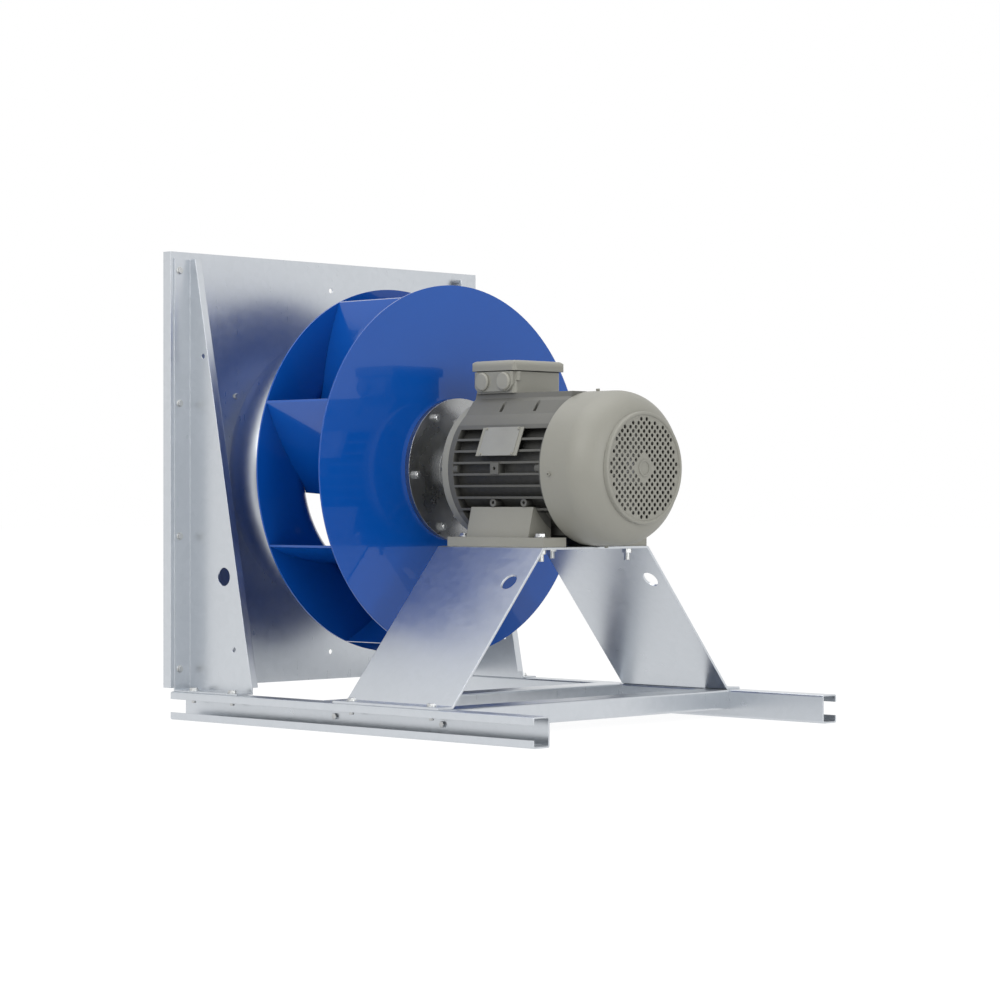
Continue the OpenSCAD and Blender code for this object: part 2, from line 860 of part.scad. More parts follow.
// The drive shield is drawn from its front wall at x = 0 to its spigot
module end_shield_drive() {
    wall = x_bearing_1 - shield_front - x_shoulder;
    rim = x_housing - shield_rim_w - x_shoulder;
    end = x_housing - x_shoulder;
    hub = bearing_or + shield_hub_t;
    inner = stator_r - seat;
    color("#a8a89c") on_shaft(x_shoulder) difference() {
        union() {
            rotate_extrude() polygon([
                [seal_bore_r, wall], [hub, wall],
                [hub, wall + shield_front], [fins_r * shield_cone_share, rim - shield_step],
                [fins_r, rim], [fins_r, end], [inner, end], [inner, end + spigot_l],
                [inner - shield_hub_t, end + spigot_l], [inner - shield_hub_t, end - shield_rim_w / 2],
                [hub, wall + shield_front + bearing_w / 2], [hub, wall + shield_front + bearing_w],
                [bearing_or + seat, wall + shield_front + bearing_w],
                [bearing_or + seat, wall + shield_front], [seal_bore_r, wall + shield_front]
            ]);
            for (i = [0 : shield_ribs - 1]) rotate([90, 0, i * 360 / shield_ribs + 45])
                translate([0, 0, -rib_t / 2]) linear_extrude(rib_t) polygon([
                    [hub - shield_step, wall], [hub, wall], [fins_r - shield_step, rim - rib_h],
                    [fins_r - shield_step, rim + rib_h], [hub - shield_step, wall + shield_front]
                ]);
            translate([0, 0, rim]) at_shield_screws() cylinder(h = shield_rim_w, r = lug_r);
        }
        translate([0, 0, rim]) at_shield_screws() {
            hole(bolt_s / 2 + bolt_clear, shield_rim_w);
            mirror([0, 0, 1]) cylinder(h = shield_rim_w, r = lug_face_r);
        }
    }
}

// The fan-side shield is drawn from the housing's end at x = 0 outwards
module end_shield_fan() {
    hub = bearing_or + shield_hub_t;
    inner = stator_r - seat;
    hub_end = bearing_out + bearing_w;
    color("#a8a89c") on_shaft(x_housing_end) difference() {
        union() {
            rotate_extrude() polygon([
                [inner - shield_hub_t, -spigot_l], [inner, -spigot_l], [inner, 0], [fins_r, 0],
                [fins_r, cover_rim_l], [inner, cover_rim_l], [hub, hub_end + shield_front],
                [fan_bore_r, hub_end + shield_front], [fan_bore_r, hub_end],
                [bearing_or + seat, hub_end], [bearing_or + seat, bearing_out],
                [hub, bearing_out], [inner - shield_hub_t, 0]
            ]);
            for (i = [0 : 3]) clock(i * 90 + cover_screw_turn, fins_r - cover_lug_in) translate([0, -lug_r, 0])
                cube([cover_r - cover_t - 2 * clear - fins_r + cover_lug_in, 2 * lug_r, cover_lug_l]);
        }
        at_shield_screws() hole(bolt_s / 2 + bolt_clear, cover_rim_l);
        at_cover_screws() cylinder(h = cover_screw_l + over, r = bolt_xs / 2 + seat);
    }
}

// Radial places of the fan cover's screws, from the housing's end, pointing inwards
module at_cover_screws() {
    for (i = [0 : 3]) translate([0, 0, cover_screw_in])
        clock(i * 90 + cover_screw_turn, cover_r - cover_t - cover_screw_l) rotate([0, 90, 0]) children();
}

module end_shield_screws() {
    color("#5b5c5e") {
        on_shaft(x_housing - shield_rim_w) at_shield_screws()
            mirror([0, 0, 1]) cap_screw(bolt_s, shield_rim_w + screw_depth - over);
        on_shaft(x_housing_end + cover_rim_l) at_shield_screws()
            cap_screw(bolt_s, cover_rim_l + screw_depth - over);
    }
}

module shaft_seal() {
    inner = seat_r + clear;
    outer = seal_bore_r - seat;
    color("#26272a") on_shaft(x_bearing_1 - shield_front - seal_nose) rotate_extrude()
        polygon([
            [inner, 0], [inner + seal_nose, 0], [outer, seal_nose],
            [outer, seal_nose + seal_w], [inner, seal_nose + seal_w]
        ]);
}

module stator_core() {
    color("#6d6f74") on_shaft(x_stator) tube(stator_l, stator_r, stator_bore_r);
}

module stator_windings() {
    color("#a5552c") for (x = [x_stator - winding_l, x_stator + stator_l])
        on_shaft(x) rotate_extrude() translate([stator_bore_r + winding_in, 0])
            rounded(stator_r - stator_bore_r - 2 * winding_in, winding_l, winding_round);
}

module race(inner_r, outer_r) {
    rotate_extrude() difference() {
        translate([inner_r, 0]) square([outer_r - inner_r, bearing_w]);
        translate([ball_pcd / 2, bearing_w / 2]) circle(ball_d / 2 + race_gap);
    }
}

module bearing_outer_rings() {
    color("#b4b7ba") for (x = [x_bearing_1, x_bearing_2])
        on_shaft(x) race(ball_pcd / 2 + race_land, bearing_or);
}

// Outline of the terminal box and of its cable boss
module box_outline() {
    translate([box_x, box_y]) rounded(box_l, box_w, box_corner);
    translate([box_x + entry_in, box_y - entry_out])
        rounded(entry_l, entry_out + 2 * box_corner, entry_out - over);
}

module box_hollow() {
    difference() {
        translate([box_x + box_wall, box_y + box_wall])
            rounded(box_l - 2 * box_wall, box_w - 2 * box_wall, box_corner - box_wall);
        at_lid_screws() circle(lid_boss_r);
    }
}

module at_lid_screws() {
    for (x = [box_corner, box_l - box_corner], y = [box_corner, box_w - box_corner])
        translate([box_x + x, box_y + y]) children();
}

// Mouths of the cable entries, pointing into the box
module at_entries() {
    for (share = entry_shares)
        translate([box_x + entry_in + share * entry_l, box_y - entry_out, box_z + (box_h + entry_low) / 2])
            rotate([-90, 0, 0]) children();
}

module terminal_box() {
    color("#a0a095") difference() {
        union() {
            translate([box_x, box_y, box_z]) linear_extrude(box_h) rounded(box_l, box_w, box_corner);
            intersection() {
                translate([0, 0, box_z + entry_low]) linear_extrude(box_h - entry_low) box_outline();
                translate([box_x + entry_in, box_y + box_corner, box_z + entry_low]) rotate([90, 0, 0])
                    linear_extrude(entry_out + box_corner)
                        rounded(entry_l, 2 * box_h, 2 * box_corner);
            }
            translate([box_x + box_l, box_y + box_lug_in, box_z + box_h - box_lug_l])
                cylinder(h = box_lug_l, r = box_lug_r);
        }
        translate([0, 0, box_z + box_wall]) linear_extrude(box_h) box_hollow();
        translate([x_housing + wire_way_x, box_mid_y, box_z]) hole(wire_way_r, box_wall);
        at_entries() pocket(plug_d / 2 - plug_step, entry_out + box_wall + over);
        translate([0, 0, box_z + box_h - screw_depth]) at_lid_screws()
            hole(bolt_s / 2 + seat, screw_depth);
        at_earth_screw() hole(bolt_s / 2 + seat, box_wall);
    }
}

module at_earth_screw() {
    translate([box_x + box_wall + 2 * box_corner, box_y + box_wall + box_corner, box_z]) children();
}

module terminal_gasket() {
    color("#2c2d2f") translate([0, 0, box_z + box_h]) linear_extrude(gasket_t) difference() {
        translate([box_x, box_y]) rounded(box_l, box_w, box_corner);
        box_hollow();
        at_lid_screws() circle(bolt_s / 2 + bolt_clear);
    }
}

// Rectangle whose upper corners are round
module crown(l, h, r) {
    square([l, h - r]);
    translate([r, 0]) square([l - 2 * r, h]);
    for (x = [r, l - r]) translate([x, h - r]) circle(r);
}

module terminal_lid() {
    lid_l = box_l + 2 * lid_over;
    lid_w = box_w + 2 * lid_over;
    low = box_z + box_h + gasket_t;
    color("#a0a095") difference() {
        translate([box_x - lid_over, box_y - lid_over, low]) intersection() {
            linear_extrude(lid_h) rounded(lid_l, lid_w, box_corner);
            translate([0, lid_w, 0]) rotate([90, 0, 0]) linear_extrude(lid_w)
                crown(lid_l, lid_h, lid_round);
            rotate([90, 0, 90]) linear_extrude(lid_l) crown(lid_w, lid_h, lid_round);
        }
        translate([0, 0, low - over]) linear_extrude(lid_h - lid_wall + over) box_hollow();
        translate([0, 0, low]) at_lid_screws() {
            hole(bolt_s / 2 + bolt_clear, lid_h);
            translate([0, 0, lid_screw_seat]) cylinder(h = lid_h, r = lid_boss_r - over);
        }
    }
}

module lid_screws() {
    color("#c9cacb") translate([0, 0, box_z + box_h + gasket_t + lid_screw_seat]) at_lid_screws()
        cap_screw(bolt_s, lid_screw_seat + gasket_t + screw_depth - over);
}

module terminal_block() {
    color("#2f3033") translate([
        box_x + box_l / 2 - block_l / 2, box_y + box_w - box_wall - block_w - box_corner, box_z + box_wall
    ]) {
        cube([block_l, block_w, block_h - block_step]);
        translate([0, block_step, 0]) cube([block_l, block_w - 2 * block_step, block_h]);
        for (i = [-1 : 1], y = [block_step / 2, block_w - block_step / 2])
            translate([block_l / 2 + i * post_pitch, y, 0])
                cylinder(h = block_h - block_step + post_h, r = post_r);
    }
}

module entry_plugs() {
    color("#b3b3a8") at_entries() {
        translate([0, 0, -plug_head_t]) cylinder(h = plug_head_t, r = plug_d / 2);
        translate([0, 0, -plug_head_t - plug_crown_t])
            cylinder(h = plug_crown_t, r1 = plug_d / 2 - plug_step, r2 = plug_d / 2);
        cylinder(h = plug_l, r = plug_d / 2 - plug_step - seat);
    }
}

module earth_screw() {
    color("#c8a24a") at_earth_screw() translate([0, 0, box_wall]) cap_screw(bolt_s, box_wall);
}

// Nameplate
module on_name() {
    on_shaft(x_housing + name_x) clock(name_clock, fins_r) children();
}

module name_rivets() {
    for (z = [rivet_in, name_l - rivet_in], y = [-0.5, 0.5])
        translate([0, y * (name_w - 2 * rivet_in), z]) rotate([0, 90, 0]) children();
}

module nameplate() {
    color("#d7d8d6") on_name() difference() {
        translate([name_stand, -name_w / 2, 0]) cube([name_t, name_w, name_l]);
        name_rivets() translate([0, 0, name_stand]) hole(rivet_r + seat, name_t);
    }
}

module nameplate_brackets() {
    color("#9d9d92") on_name() {
        for (z = [-bracket_out, name_l + bracket_out - bracket_w])
            translate([name_stand - bracket_t, -name_w / 2, z]) cube([bracket_t, name_w, bracket_w]);
        name_rivets() translate([0, 0, name_stand - bracket_t / 2]) {
            cylinder(h = name_t + bracket_t / 2, r = rivet_r);
            translate([0, 0, name_t + bracket_t / 2]) cylinder(h = rivet_r, r = rivet_head_r);
        }
    }
}

// Fan cover
function cover_arc_x(r) =
    cover_len - cover_bend + sqrt(pow(cover_bend, 2) - pow(r - cover_r + cover_bend, 2));

module fan_cover() {
    bend_mid = cover_r - cover_bend;
    color("#9b9b90") on_shaft(x_cover) difference() {
        rotate_extrude() difference() {
            union() {
                translate([cover_r - cover_t, 0]) square([cover_t, cover_len - cover_bend]);
                translate([bend_mid, cover_len - cover_bend])
                    sheet_arc(cover_bend - cover_t / 2, cover_t, 0, 90);
            }
            square([grille_r, 2 * cover_len]);
        }
        translate([0, 0, -clear]) at_cover_screws()
            cylinder(h = 2 * cover_screw_l, r = bolt_xs / 2 + bolt_clear);
    }
}

module fan_grille() {
    top = cover_len + ring_rise;
    color("#9b9b90") on_shaft(x_cover) {
        rotate_extrude() {
            polygon([
                for (i = [0 : ring_steps]) let (r = grille_r + (ring_r - grille_r) * i / ring_steps)
                    [r, cover_arc_x(r) + seat],
                [ring_r, top - ring_bead], [grille_r, top - ring_bead]
            ]);
            intersection() {
                translate([ring_r - ring_bead, top - ring_bead]) circle(ring_bead);
                translate([grille_r, top - ring_bead]) square([2 * ring_bead, ring_bead]);
            }
        }
        translate([0, 0, top - ring_bead - grille_t]) linear_extrude(grille_t) difference() {
            circle(grille_r + ring_bead);
            grille_holes();
        }
        translate([0, 0, top - ring_bead]) tube(ring_bead / 2, grille_bead_r, grille_bead_r - ring_bead);
    }
}

// Round holes on a slanted square grid
module grille_holes() {
    n = ceil(grille_r / grille_pitch);
    rotate([0, 0, 45]) for (i = [-n : n], j = [-n : n]) {
        p = [i + 0.5, j + 0.5] * grille_pitch;
        if (norm(p) > grille_blank_r + grille_hole_d / 2 && norm(p) < grille_r - grille_hole_d / 2 - over)
            translate(p) circle(grille_hole_d / 2);
    }
}

module cover_screws() {
    color("#77776f") on_shaft(x_housing_end) at_cover_screws()
        translate([0, 0, cover_screw_l + cover_t]) cap_screw(bolt_xs, cover_screw_l + cover_t - over);
}

// Shaft and the parts that turn inside the motor
module shaft() {
    free_end = x_shoulder - shaft_len;
    color("#b8babd") on_shaft(free_end) difference() {
        union() {
            cylinder(h = shaft_len + over, r = shaft_r);
            translate([0, 0, shaft_len]) cylinder(h = x_tail - x_shoulder - shaft_tail, r = seat_r);
            translate([0, 0, shaft_len + bearing_in + bearing_w])
                cylinder(h = x_bearing_2 - x_bearing_1 - bearing_w, r = rotor_seat_r);
            translate([0, 0, shaft_len]) cylinder(h = x_tail - x_shoulder, r = fan_seat_r);
        }
        translate([-shaft_r - over, -key_w / 2, key_in])
            cube([key_sunk + over, key_w, key_l]);
        pocket(screw_l_d / 2 + seat, shaft_screw_depth);
        translate([0, 0, x_clip - free_end]) tube(clip_t, rotor_seat_r, fan_seat_r - clip_sunk);
    }
}

module shaft_key() {
    color("#a4a6a9") on_shaft(x_shoulder - shaft_len + key_in)
        translate([key_sunk - shaft_r - key_h, -key_w / 2 + seat, seat])
            cube([key_h, key_w - 2 * seat, key_l - 2 * seat]);
}

module rotor_core() {
    rotor_r = stator_bore_r - air_gap;
    color("#77797d") on_shaft(x_stator - rotor_ring_l) {
        translate([0, 0, rotor_ring_l]) tube(stator_l, rotor_r, rotor_seat_r + seat);
        for (z = [0, rotor_ring_l + stator_l]) translate([0, 0, z])
            tube(rotor_ring_l, rotor_r - air_gap, rotor_r - 2 * rotor_ring_l);
    }
}

module bearing_inner_rings() {
    color("#b4b7ba") for (x = [x_bearing_1, x_bearing_2])
        on_shaft(x) race(seat_r + seat, ball_pcd / 2 - race_land);
}

module bearing_balls() {
    color("#cfd1d3") for (x = [x_bearing_1, x_bearing_2], i = [0 : ball_count - 1])
        on_shaft(x + bearing_w / 2) clock(i * 360 / ball_count, ball_pcd / 2) sphere(ball_d / 2);
}

module cooling_fan() {
    color("#3a3b3d") on_shaft(x_clip - fan_w - fan_disc_t) difference() {
        union() {
            tube(fan_disc_t, fan_r, 0);
            cylinder(h = fan_w + fan_disc_t, r = fan_hub_r);
            for (i = [0 : fan_blades - 1]) rotate([0, 0, i * 360 / fan_blades])
                translate([fan_hub_r - over, -fan_blade_t / 2, 0])
                    cube([fan_r - fan_hub_r, fan_blade_t, fan_w]);
        }
        hole(fan_seat_r + seat, fan_w + fan_disc_t);
    }
}

module fan_clip() {
    color("#8f9195") on_shaft(x_clip)
        tube(clip_t, fan_seat_r + 3 * clip_sunk, fan_seat_r - clip_sunk + seat);
}

// Hub
module at_hub_bolts() {
    for (i = [0 : hub_bolt_count - 1])
        clock(hub_bolt_angle + i * 360 / hub_bolt_count, hub_pcd / 2) children();
}

module at_bush_screws() {
    for (i = [0 : bush_screw_count - 1])
        clock(bush_screw_angle + i * 360 / bush_screw_count, bush_screw_r) children();
}

// The hub is drawn from its inlet face at x = 0
module hub() {
    boss_l = boss_in + wheel_t + hub_t + boss_out;
    taper_at = boss_l - bush_l;
    color("#6d7073") on_shaft(x_back - wheel_t - boss_in) difference() {
        union() {
            cylinder(h = boss_l, r = boss_d / 2);
            translate([0, 0, boss_in + wheel_t]) cylinder(h = hub_t, r = hub_d / 2);
        }
        hole(shaft_r + bolt_clear, boss_l);
        translate([0, 0, taper_at]) cylinder(h = bush_l, r1 = bush_small_r + seat, r2 = bush_big_r + seat);
        translate([0, 0, boss_l - over / 2]) cylinder(h = over, r = bush_big_r + seat);
        translate([0, 0, boss_in + wheel_t]) at_hub_bolts() hole(bolt_m / 2 + bolt_clear, hub_t);
        translate([0, 0, boss_l - screw_depth]) at_bush_screws() hole(bolt_s / 2 + seat, screw_depth);
    }
}

// The bush is drawn from its small end at x = 0
module taper_bush() {
    color("#6f7276") on_shaft(x_hub + boss_out - bush_l) difference() {
        union() {
            cylinder(h = bush_l, r1 = bush_small_r, r2 = bush_big_r);
            translate([0, 0, bush_l]) cylinder(h = bush_flange_t, r = bush_flange_r);
        }
        hole(shaft_r + seat, bush_l + bush_flange_t);
        translate([-shaft_r - key_h + key_sunk - seat, -key_w / 2, -over])
            cube([key_h, key_w, bush_l + bush_flange_t + 2 * over]);
        translate([0, 0, bush_l]) at_bush_screws() hole(bolt_s / 2 + bolt_clear, bush_flange_t);
    }
}

module bush_screws() {
    color("#3b3c3f") on_shaft(x_hub + boss_out + bush_flange_t) at_bush_screws()
        cap_screw(bolt_s, bush_flange_t + screw_depth - over);
}

module hub_bolts() {
    color("#c9cbcd") on_shaft(x_back - wheel_t) at_hub_bolts()
        mirror([0, 0, 1]) bolt(bolt_m, wheel_t + hub_t);
}

module shaft_washer() {
    color("#b9bbbe") on_shaft(x_back - wheel_t - boss_in - washer_t)
        tube(washer_t, washer_r, screw_l_d / 2 + bolt_clear);
}

module shaft_screw() {
    color("#c4c6c8") on_shaft(x_back - wheel_t - boss_in - washer_t) mirror([0, 0, 1]) {
        cylinder(h = screw_l_d * head_h_share, r = screw_l_d * head_af_share / sqrt(3), $fn = 6);
        translate([0, 0, -shaft_screw_l]) cylinder(h = shaft_screw_l + over, r = screw_l_d / 2);
    }
}

// Wheel
module back_disc() {
    color("#0f4a96") on_shaft(x_back - wheel_t) difference() {
        tube(wheel_t, wheel_r, boss_d / 2 + seat);
        at_hub_bolts() hole(bolt_m / 2 + bolt_clear, wheel_t);
    }
}

// The shroud is drawn with r across and x up: a cone, a bend and the eye's tube
module shroud_profile() {
    back = [sin(shroud_slope), -cos(shroud_slope)] * wheel_t;
    rim = [wheel_r, x_rim];
    start = 90 + shroud_slope;
    bend = [for (i = [0 : bend_steps]) let (a = start + (180 - start) * i / bend_steps) [cos(a), sin(a)]];
    at = [bend_r, bend_x];
    polygon(concat(
        [rim], [for (v = bend) at + eye_bend * v], [[eye_r, bend_x - eye_tube]],
        [[eye_r + wheel_t, bend_x - eye_tube]],
        [for (i = [0 : bend_steps]) at + (eye_bend - wheel_t) * bend[bend_steps - i]], [rim + back]
    ));
}

module front_shroud() {
    color("#0f4a96") on_shaft(0) rotate_extrude() shroud_profile();
}

module blade_section() {
    inner = inner_back_r * [cos(blade_sweep), sin(blade_sweep)];
    tip = [wheel_r, 0];
    chord = tip - inner;
    radius = norm(chord) / 2 / sin(blade_camber / 2);
    out = [-chord[1], chord[0]] / norm(chord);
    centre = (inner + tip) / 2 - out * radius * cos(blade_camber / 2);
    low = atan2(tip[1] - centre[1], tip[0] - centre[0]);
    translate(centre) sheet_arc(radius, wheel_t, low - blade_run_out, low + blade_camber + blade_run_out);
}

// Room of the blades between the back disc and the shroud, with r across and x up
module blade_room() {
    reach = eye_bend + clear;
    start = 90 + shroud_slope;
    polygon([
        [inner_back_r, x_back - wheel_t], [wheel_r, x_back - wheel_t],
        [wheel_r, x_rim + clear / cos(shroud_slope)],
        for (i = [0 : room_steps]) let (a = start + (inner_edge_angle - start) * i / room_steps)
            [bend_r + reach * cos(a), bend_x + reach * sin(a)]
    ]);
}

module blades() {
    room = x_back - wheel_t - bend_x;
    color("#0f4a96") on_shaft(0) intersection() {
        rotate_extrude() blade_room();
        translate([0, 0, bend_x]) for (i = [0 : blade_count - 1])
            clock(tip_angle + i * 360 / blade_count, 0) linear_extrude(room) blade_section();
    }
}

nozzle_plate();
inlet_nozzle();
nozzle_screws();
gusset_left();
gusset_right();
gusset_bolts();
rail_left();
rail_right();
cross_member_front();
cross_member_rear();
cross_member_bolts();
motor_support();
support_bolts();
motor_bolts();
motor_housing();
foot_left();
foot_right();
foot_screws();
end_shield_drive();
end_shield_fan();
end_shield_screws();
shaft_seal();
stator_core();
stator_windings();
bearing_outer_rings();
terminal_box();
terminal_gasket();
terminal_lid();
lid_screws();
terminal_block();
entry_plugs();
nameplate();
nameplate_brackets();
earth_screw();
fan_cover();
fan_grille();
cover_screws();
shaft();
shaft_key();
rotor_core();
bearing_inner_rings();
bearing_balls();
cooling_fan();
fan_clip();
hub();
taper_bush();
bush_screws();
hub_bolts();
back_disc();
front_shroud();
blades();
shaft_washer();
shaft_screw();
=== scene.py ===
# Plug fan with a blue backward-curved wheel, its inlet plate, base and motor.
import json
import math
import bpy
from mathutils import Matrix, Vector


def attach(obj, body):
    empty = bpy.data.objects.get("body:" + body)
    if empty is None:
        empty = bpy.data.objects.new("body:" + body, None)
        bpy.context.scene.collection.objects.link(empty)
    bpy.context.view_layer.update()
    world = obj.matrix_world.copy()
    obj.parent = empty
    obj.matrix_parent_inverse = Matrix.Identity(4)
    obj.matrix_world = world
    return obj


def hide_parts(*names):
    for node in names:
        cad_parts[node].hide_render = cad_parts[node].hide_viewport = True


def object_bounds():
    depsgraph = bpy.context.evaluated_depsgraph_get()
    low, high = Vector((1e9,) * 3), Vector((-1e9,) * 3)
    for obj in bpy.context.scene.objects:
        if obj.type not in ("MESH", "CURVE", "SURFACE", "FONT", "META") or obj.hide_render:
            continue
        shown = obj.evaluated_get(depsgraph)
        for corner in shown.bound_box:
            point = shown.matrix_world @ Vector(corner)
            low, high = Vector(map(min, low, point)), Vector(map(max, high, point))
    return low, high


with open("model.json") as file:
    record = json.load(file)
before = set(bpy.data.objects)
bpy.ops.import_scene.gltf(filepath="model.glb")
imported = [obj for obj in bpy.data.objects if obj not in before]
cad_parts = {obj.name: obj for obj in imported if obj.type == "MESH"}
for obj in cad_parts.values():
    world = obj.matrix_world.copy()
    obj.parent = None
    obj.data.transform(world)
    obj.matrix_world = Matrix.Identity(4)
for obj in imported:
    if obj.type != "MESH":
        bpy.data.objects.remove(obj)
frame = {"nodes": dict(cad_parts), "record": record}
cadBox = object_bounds()
cadNodes = frame["nodes"]
print("frame loaded:", len(cadNodes), "nodes")

view = {
    "place": (3.5527, -3.6445, 0.3829),
    "turn": (90.0, 0.0, 44.392),
    "lens": 105.09,
    "shift": (0.0093, 0.0011),
    "sensor": 36.0,
    "farClip": 200.0,
}
studio = {
    "key": {"place": (1.2, -4.6, 3.4), "aim": (0.0, 0.0, 0.4), "size": 3.2, "power": 110.0},
    "fill": {"place": (5.4, -0.4, 1.6), "aim": (0.2, 0.0, 0.4), "size": 3.0, "power": 85.0},
    "top": {"place": (-0.4, -0.2, 4.2), "aim": (0.0, 0.0, 0.0), "size": 4.0, "power": 90.0},
    "worldGrey": 0.55,
    "floorGlow": 1.07,
    "floorShare": 0.88,
    "floorSize": 60.0,
    "floorColour": (0.86, 0.86, 0.87),
    "floorRough": 0.85,
}


def deselectAll():
    bpy.ops.object.select_all(action="DESELECT")


def addCamera():
    bpy.ops.object.camera_add(location=view["place"], rotation=[math.radians(a) for a in view["turn"]])
    camera = bpy.context.object
    camera.name = "photoCamera"
    camera.data.lens = view["lens"]
    camera.data.sensor_width = view["sensor"]
    camera.data.shift_x, camera.data.shift_y = view["shift"]
    camera.data.clip_end = view["farClip"]
    bpy.context.scene.camera = camera


def addSoftbox(name, spec):
    bpy.ops.object.light_add(type="AREA", location=spec["place"])
    lamp = bpy.context.object
    lamp.name = name
    lamp.data.shape = "SQUARE"
    lamp.data.size = spec["size"]
    lamp.data.energy = spec["power"]
    way = Vector(spec["aim"]) - Vector(spec["place"])
    lamp.rotation_euler = way.to_track_quat("-Z", "Y").to_euler()


def link(tree, outSocket, inSocket):
    tree.links.new(outSocket, inSocket)


def feed(tree, value, socket):
    # another node's output is linked, a plain value is set
    if hasattr(value, "links"):
        link(tree, value, socket)
    else:
        socket.default_value = value


def reckon(tree, operation, *values):
    node = tree.nodes.new("ShaderNodeMath")
    node.operation = operation
    for socket, value in zip(node.inputs, values):
        feed(tree, value, socket)
    return node.outputs[0]


def seenDirectly(tree):
    # 1 for the camera, for a mirror's view and through glass, else 0
    paths = tree.nodes.new("ShaderNodeLightPath")
    total = paths.outputs["Is Camera Ray"]
    for name in ("Is Glossy Ray", "Is Transmission Ray"):
        total = reckon(tree, "ADD", total, paths.outputs[name])
        total.node.use_clamp = True
    return total


def addWorld():
    world = bpy.data.worlds.new("paleStudio")
    world.use_nodes = True
    tree = world.node_tree
    back = tree.nodes["Background"]
    mix = tree.nodes.new("ShaderNodeMix")
    mix.data_type = "RGBA"
    grey = studio["worldGrey"]
    mix.inputs["A"].default_value = (grey, grey, grey, 1)
    mix.inputs["B"].default_value = (1, 1, 1, 1)
    link(tree, seenDirectly(tree), mix.inputs["Factor"])
    link(tree, mix.outputs["Result"], back.inputs["Color"])
    bpy.context.scene.world = world


def addFloor():
    deselectAll()
    bpy.ops.mesh.primitive_plane_add(size=studio["floorSize"], location=(0, 0, cadBox[0][2]))
    floor = bpy.context.object
    floor.name = "studioFloor"
    material = bpy.data.materials.new("whiteFloor")
    material.use_nodes = True
    tree = material.node_tree
    shader = tree.nodes["Principled BSDF"]
    shader.inputs["Base Color"].default_value = (*studio["floorColour"], 1)
    shader.inputs["Roughness"].default_value = studio["floorRough"]
    glow = tree.nodes.new("ShaderNodeEmission")
    glow.inputs["Color"].default_value = (1, 1, 1, 1)
    glow.inputs["Strength"].default_value = studio["floorGlow"]
    mix = tree.nodes.new("ShaderNodeMixShader")
    out = tree.nodes["Material Output"]
    link(tree, reckon(tree, "MULTIPLY", seenDirectly(tree), studio["floorShare"]), mix.inputs["Fac"])
    link(tree, shader.outputs["BSDF"], mix.inputs[1])
    link(tree, glow.outputs["Emission"], mix.inputs[2])
    link(tree, mix.outputs["Shader"], out.inputs["Surface"])
    floor.data.materials.append(material)


addCamera()
for lampName in ("key", "fill", "top"):
    addSoftbox(lampName + "Softbox", studio[lampName])
addWorld()
addFloor()
scene = bpy.context.scene
scene.view_settings.view_transform = "Standard"
print("studio ready")


def newGroup(name, ins, outs):
    tree = bpy.data.node_groups.new(name, "ShaderNodeTree")
    for label, kind, value in ins:
        socket = tree.interface.new_socket(name=label, in_out="INPUT", socket_type=kind)
        if value is not None:
            socket.default_value = value
    for label, kind in outs:
        tree.interface.new_socket(name=label, in_out="OUTPUT", socket_type=kind)
    return tree, tree.nodes.new("NodeGroupInput"), tree.nodes.new("NodeGroupOutput")


def spread(tree, value, low, high, outLow=0.0, outHigh=1.0):
    # a value moved from one range to another
    node = tree.nodes.new("ShaderNodeMapRange")
    link(tree, value, node.inputs["Value"])
    for socket, number in (("From Min", low), ("From Max", high), ("To Min", outLow), ("To Max", outHigh)):
        feed(tree, number, node.inputs[socket])
    return node.outputs["Result"]


grain = {
    "crystal": {"warpScale": 18.0, "warpShare": 0.03},
    "brush": {"detail": 3.0, "low": 0.3, "high": 0.7},
    "edge": {"samples": 4, "flat": 0.995, "sharp": 0.86, "scale": 55.0, "detail": 6.0, "low": 0.45, "high": 0.6},
    "dust": {"steep": 0.5, "level": 1.0, "scale": 9.0, "detail": 8.0, "low": 0.35, "high": 0.7},
}


def cloudGroup():
    tree, gin, gout = newGroup("softClouds", [
        ("Vector", "NodeSocketVector", None), ("Scale", "NodeSocketFloat", 4.0),
        ("Detail", "NodeSocketFloat", 4.0), ("Low", "NodeSocketFloat", 0.35), ("High", "NodeSocketFloat", 0.65),
    ], [("Mask", "NodeSocketFloat")])
    noise = tree.nodes.new("ShaderNodeTexNoise")
    for name in ("Vector", "Scale", "Detail"):
        link(tree, gin.outputs[name], noise.inputs[name])
    mask = spread(tree, noise.outputs["Fac"], gin.outputs["Low"], gin.outputs["High"])
    link(tree, mask, gout.inputs["Mask"])
    return tree


def crystalGroup():
    # zinc crystals: each cell has its own shade
    tree, gin, gout = newGroup("zincCrystals", [
        ("Vector", "NodeSocketVector", None), ("Scale", "NodeSocketFloat", 60.0),
    ], [("Shade", "NodeSocketFloat"), ("Edge", "NodeSocketFloat")])
    warp = tree.nodes.new("ShaderNodeTexNoise")
    warp.inputs["Scale"].default_value = grain["crystal"]["warpScale"]
    mix = tree.nodes.new("ShaderNodeMix")
    mix.data_type = "VECTOR"
    mix.inputs["Factor"].default_value = grain["crystal"]["warpShare"]
    link(tree, gin.outputs["Vector"], warp.inputs["Vector"])
    link(tree, gin.outputs["Vector"], mix.inputs["A"])
    link(tree, warp.outputs["Color"], mix.inputs["B"])
    cells = tree.nodes.new("ShaderNodeTexVoronoi")
    cells.feature = "F1"
    link(tree, mix.outputs["Result"], cells.inputs["Vector"])
    link(tree, gin.outputs["Scale"], cells.inputs["Scale"])
    split = tree.nodes.new("ShaderNodeSeparateColor")
    link(tree, cells.outputs["Color"], split.inputs["Color"])
    link(tree, split.outputs["Red"], gout.inputs["Shade"])
    link(tree, cells.outputs["Distance"], gout.inputs["Edge"])
    return tree


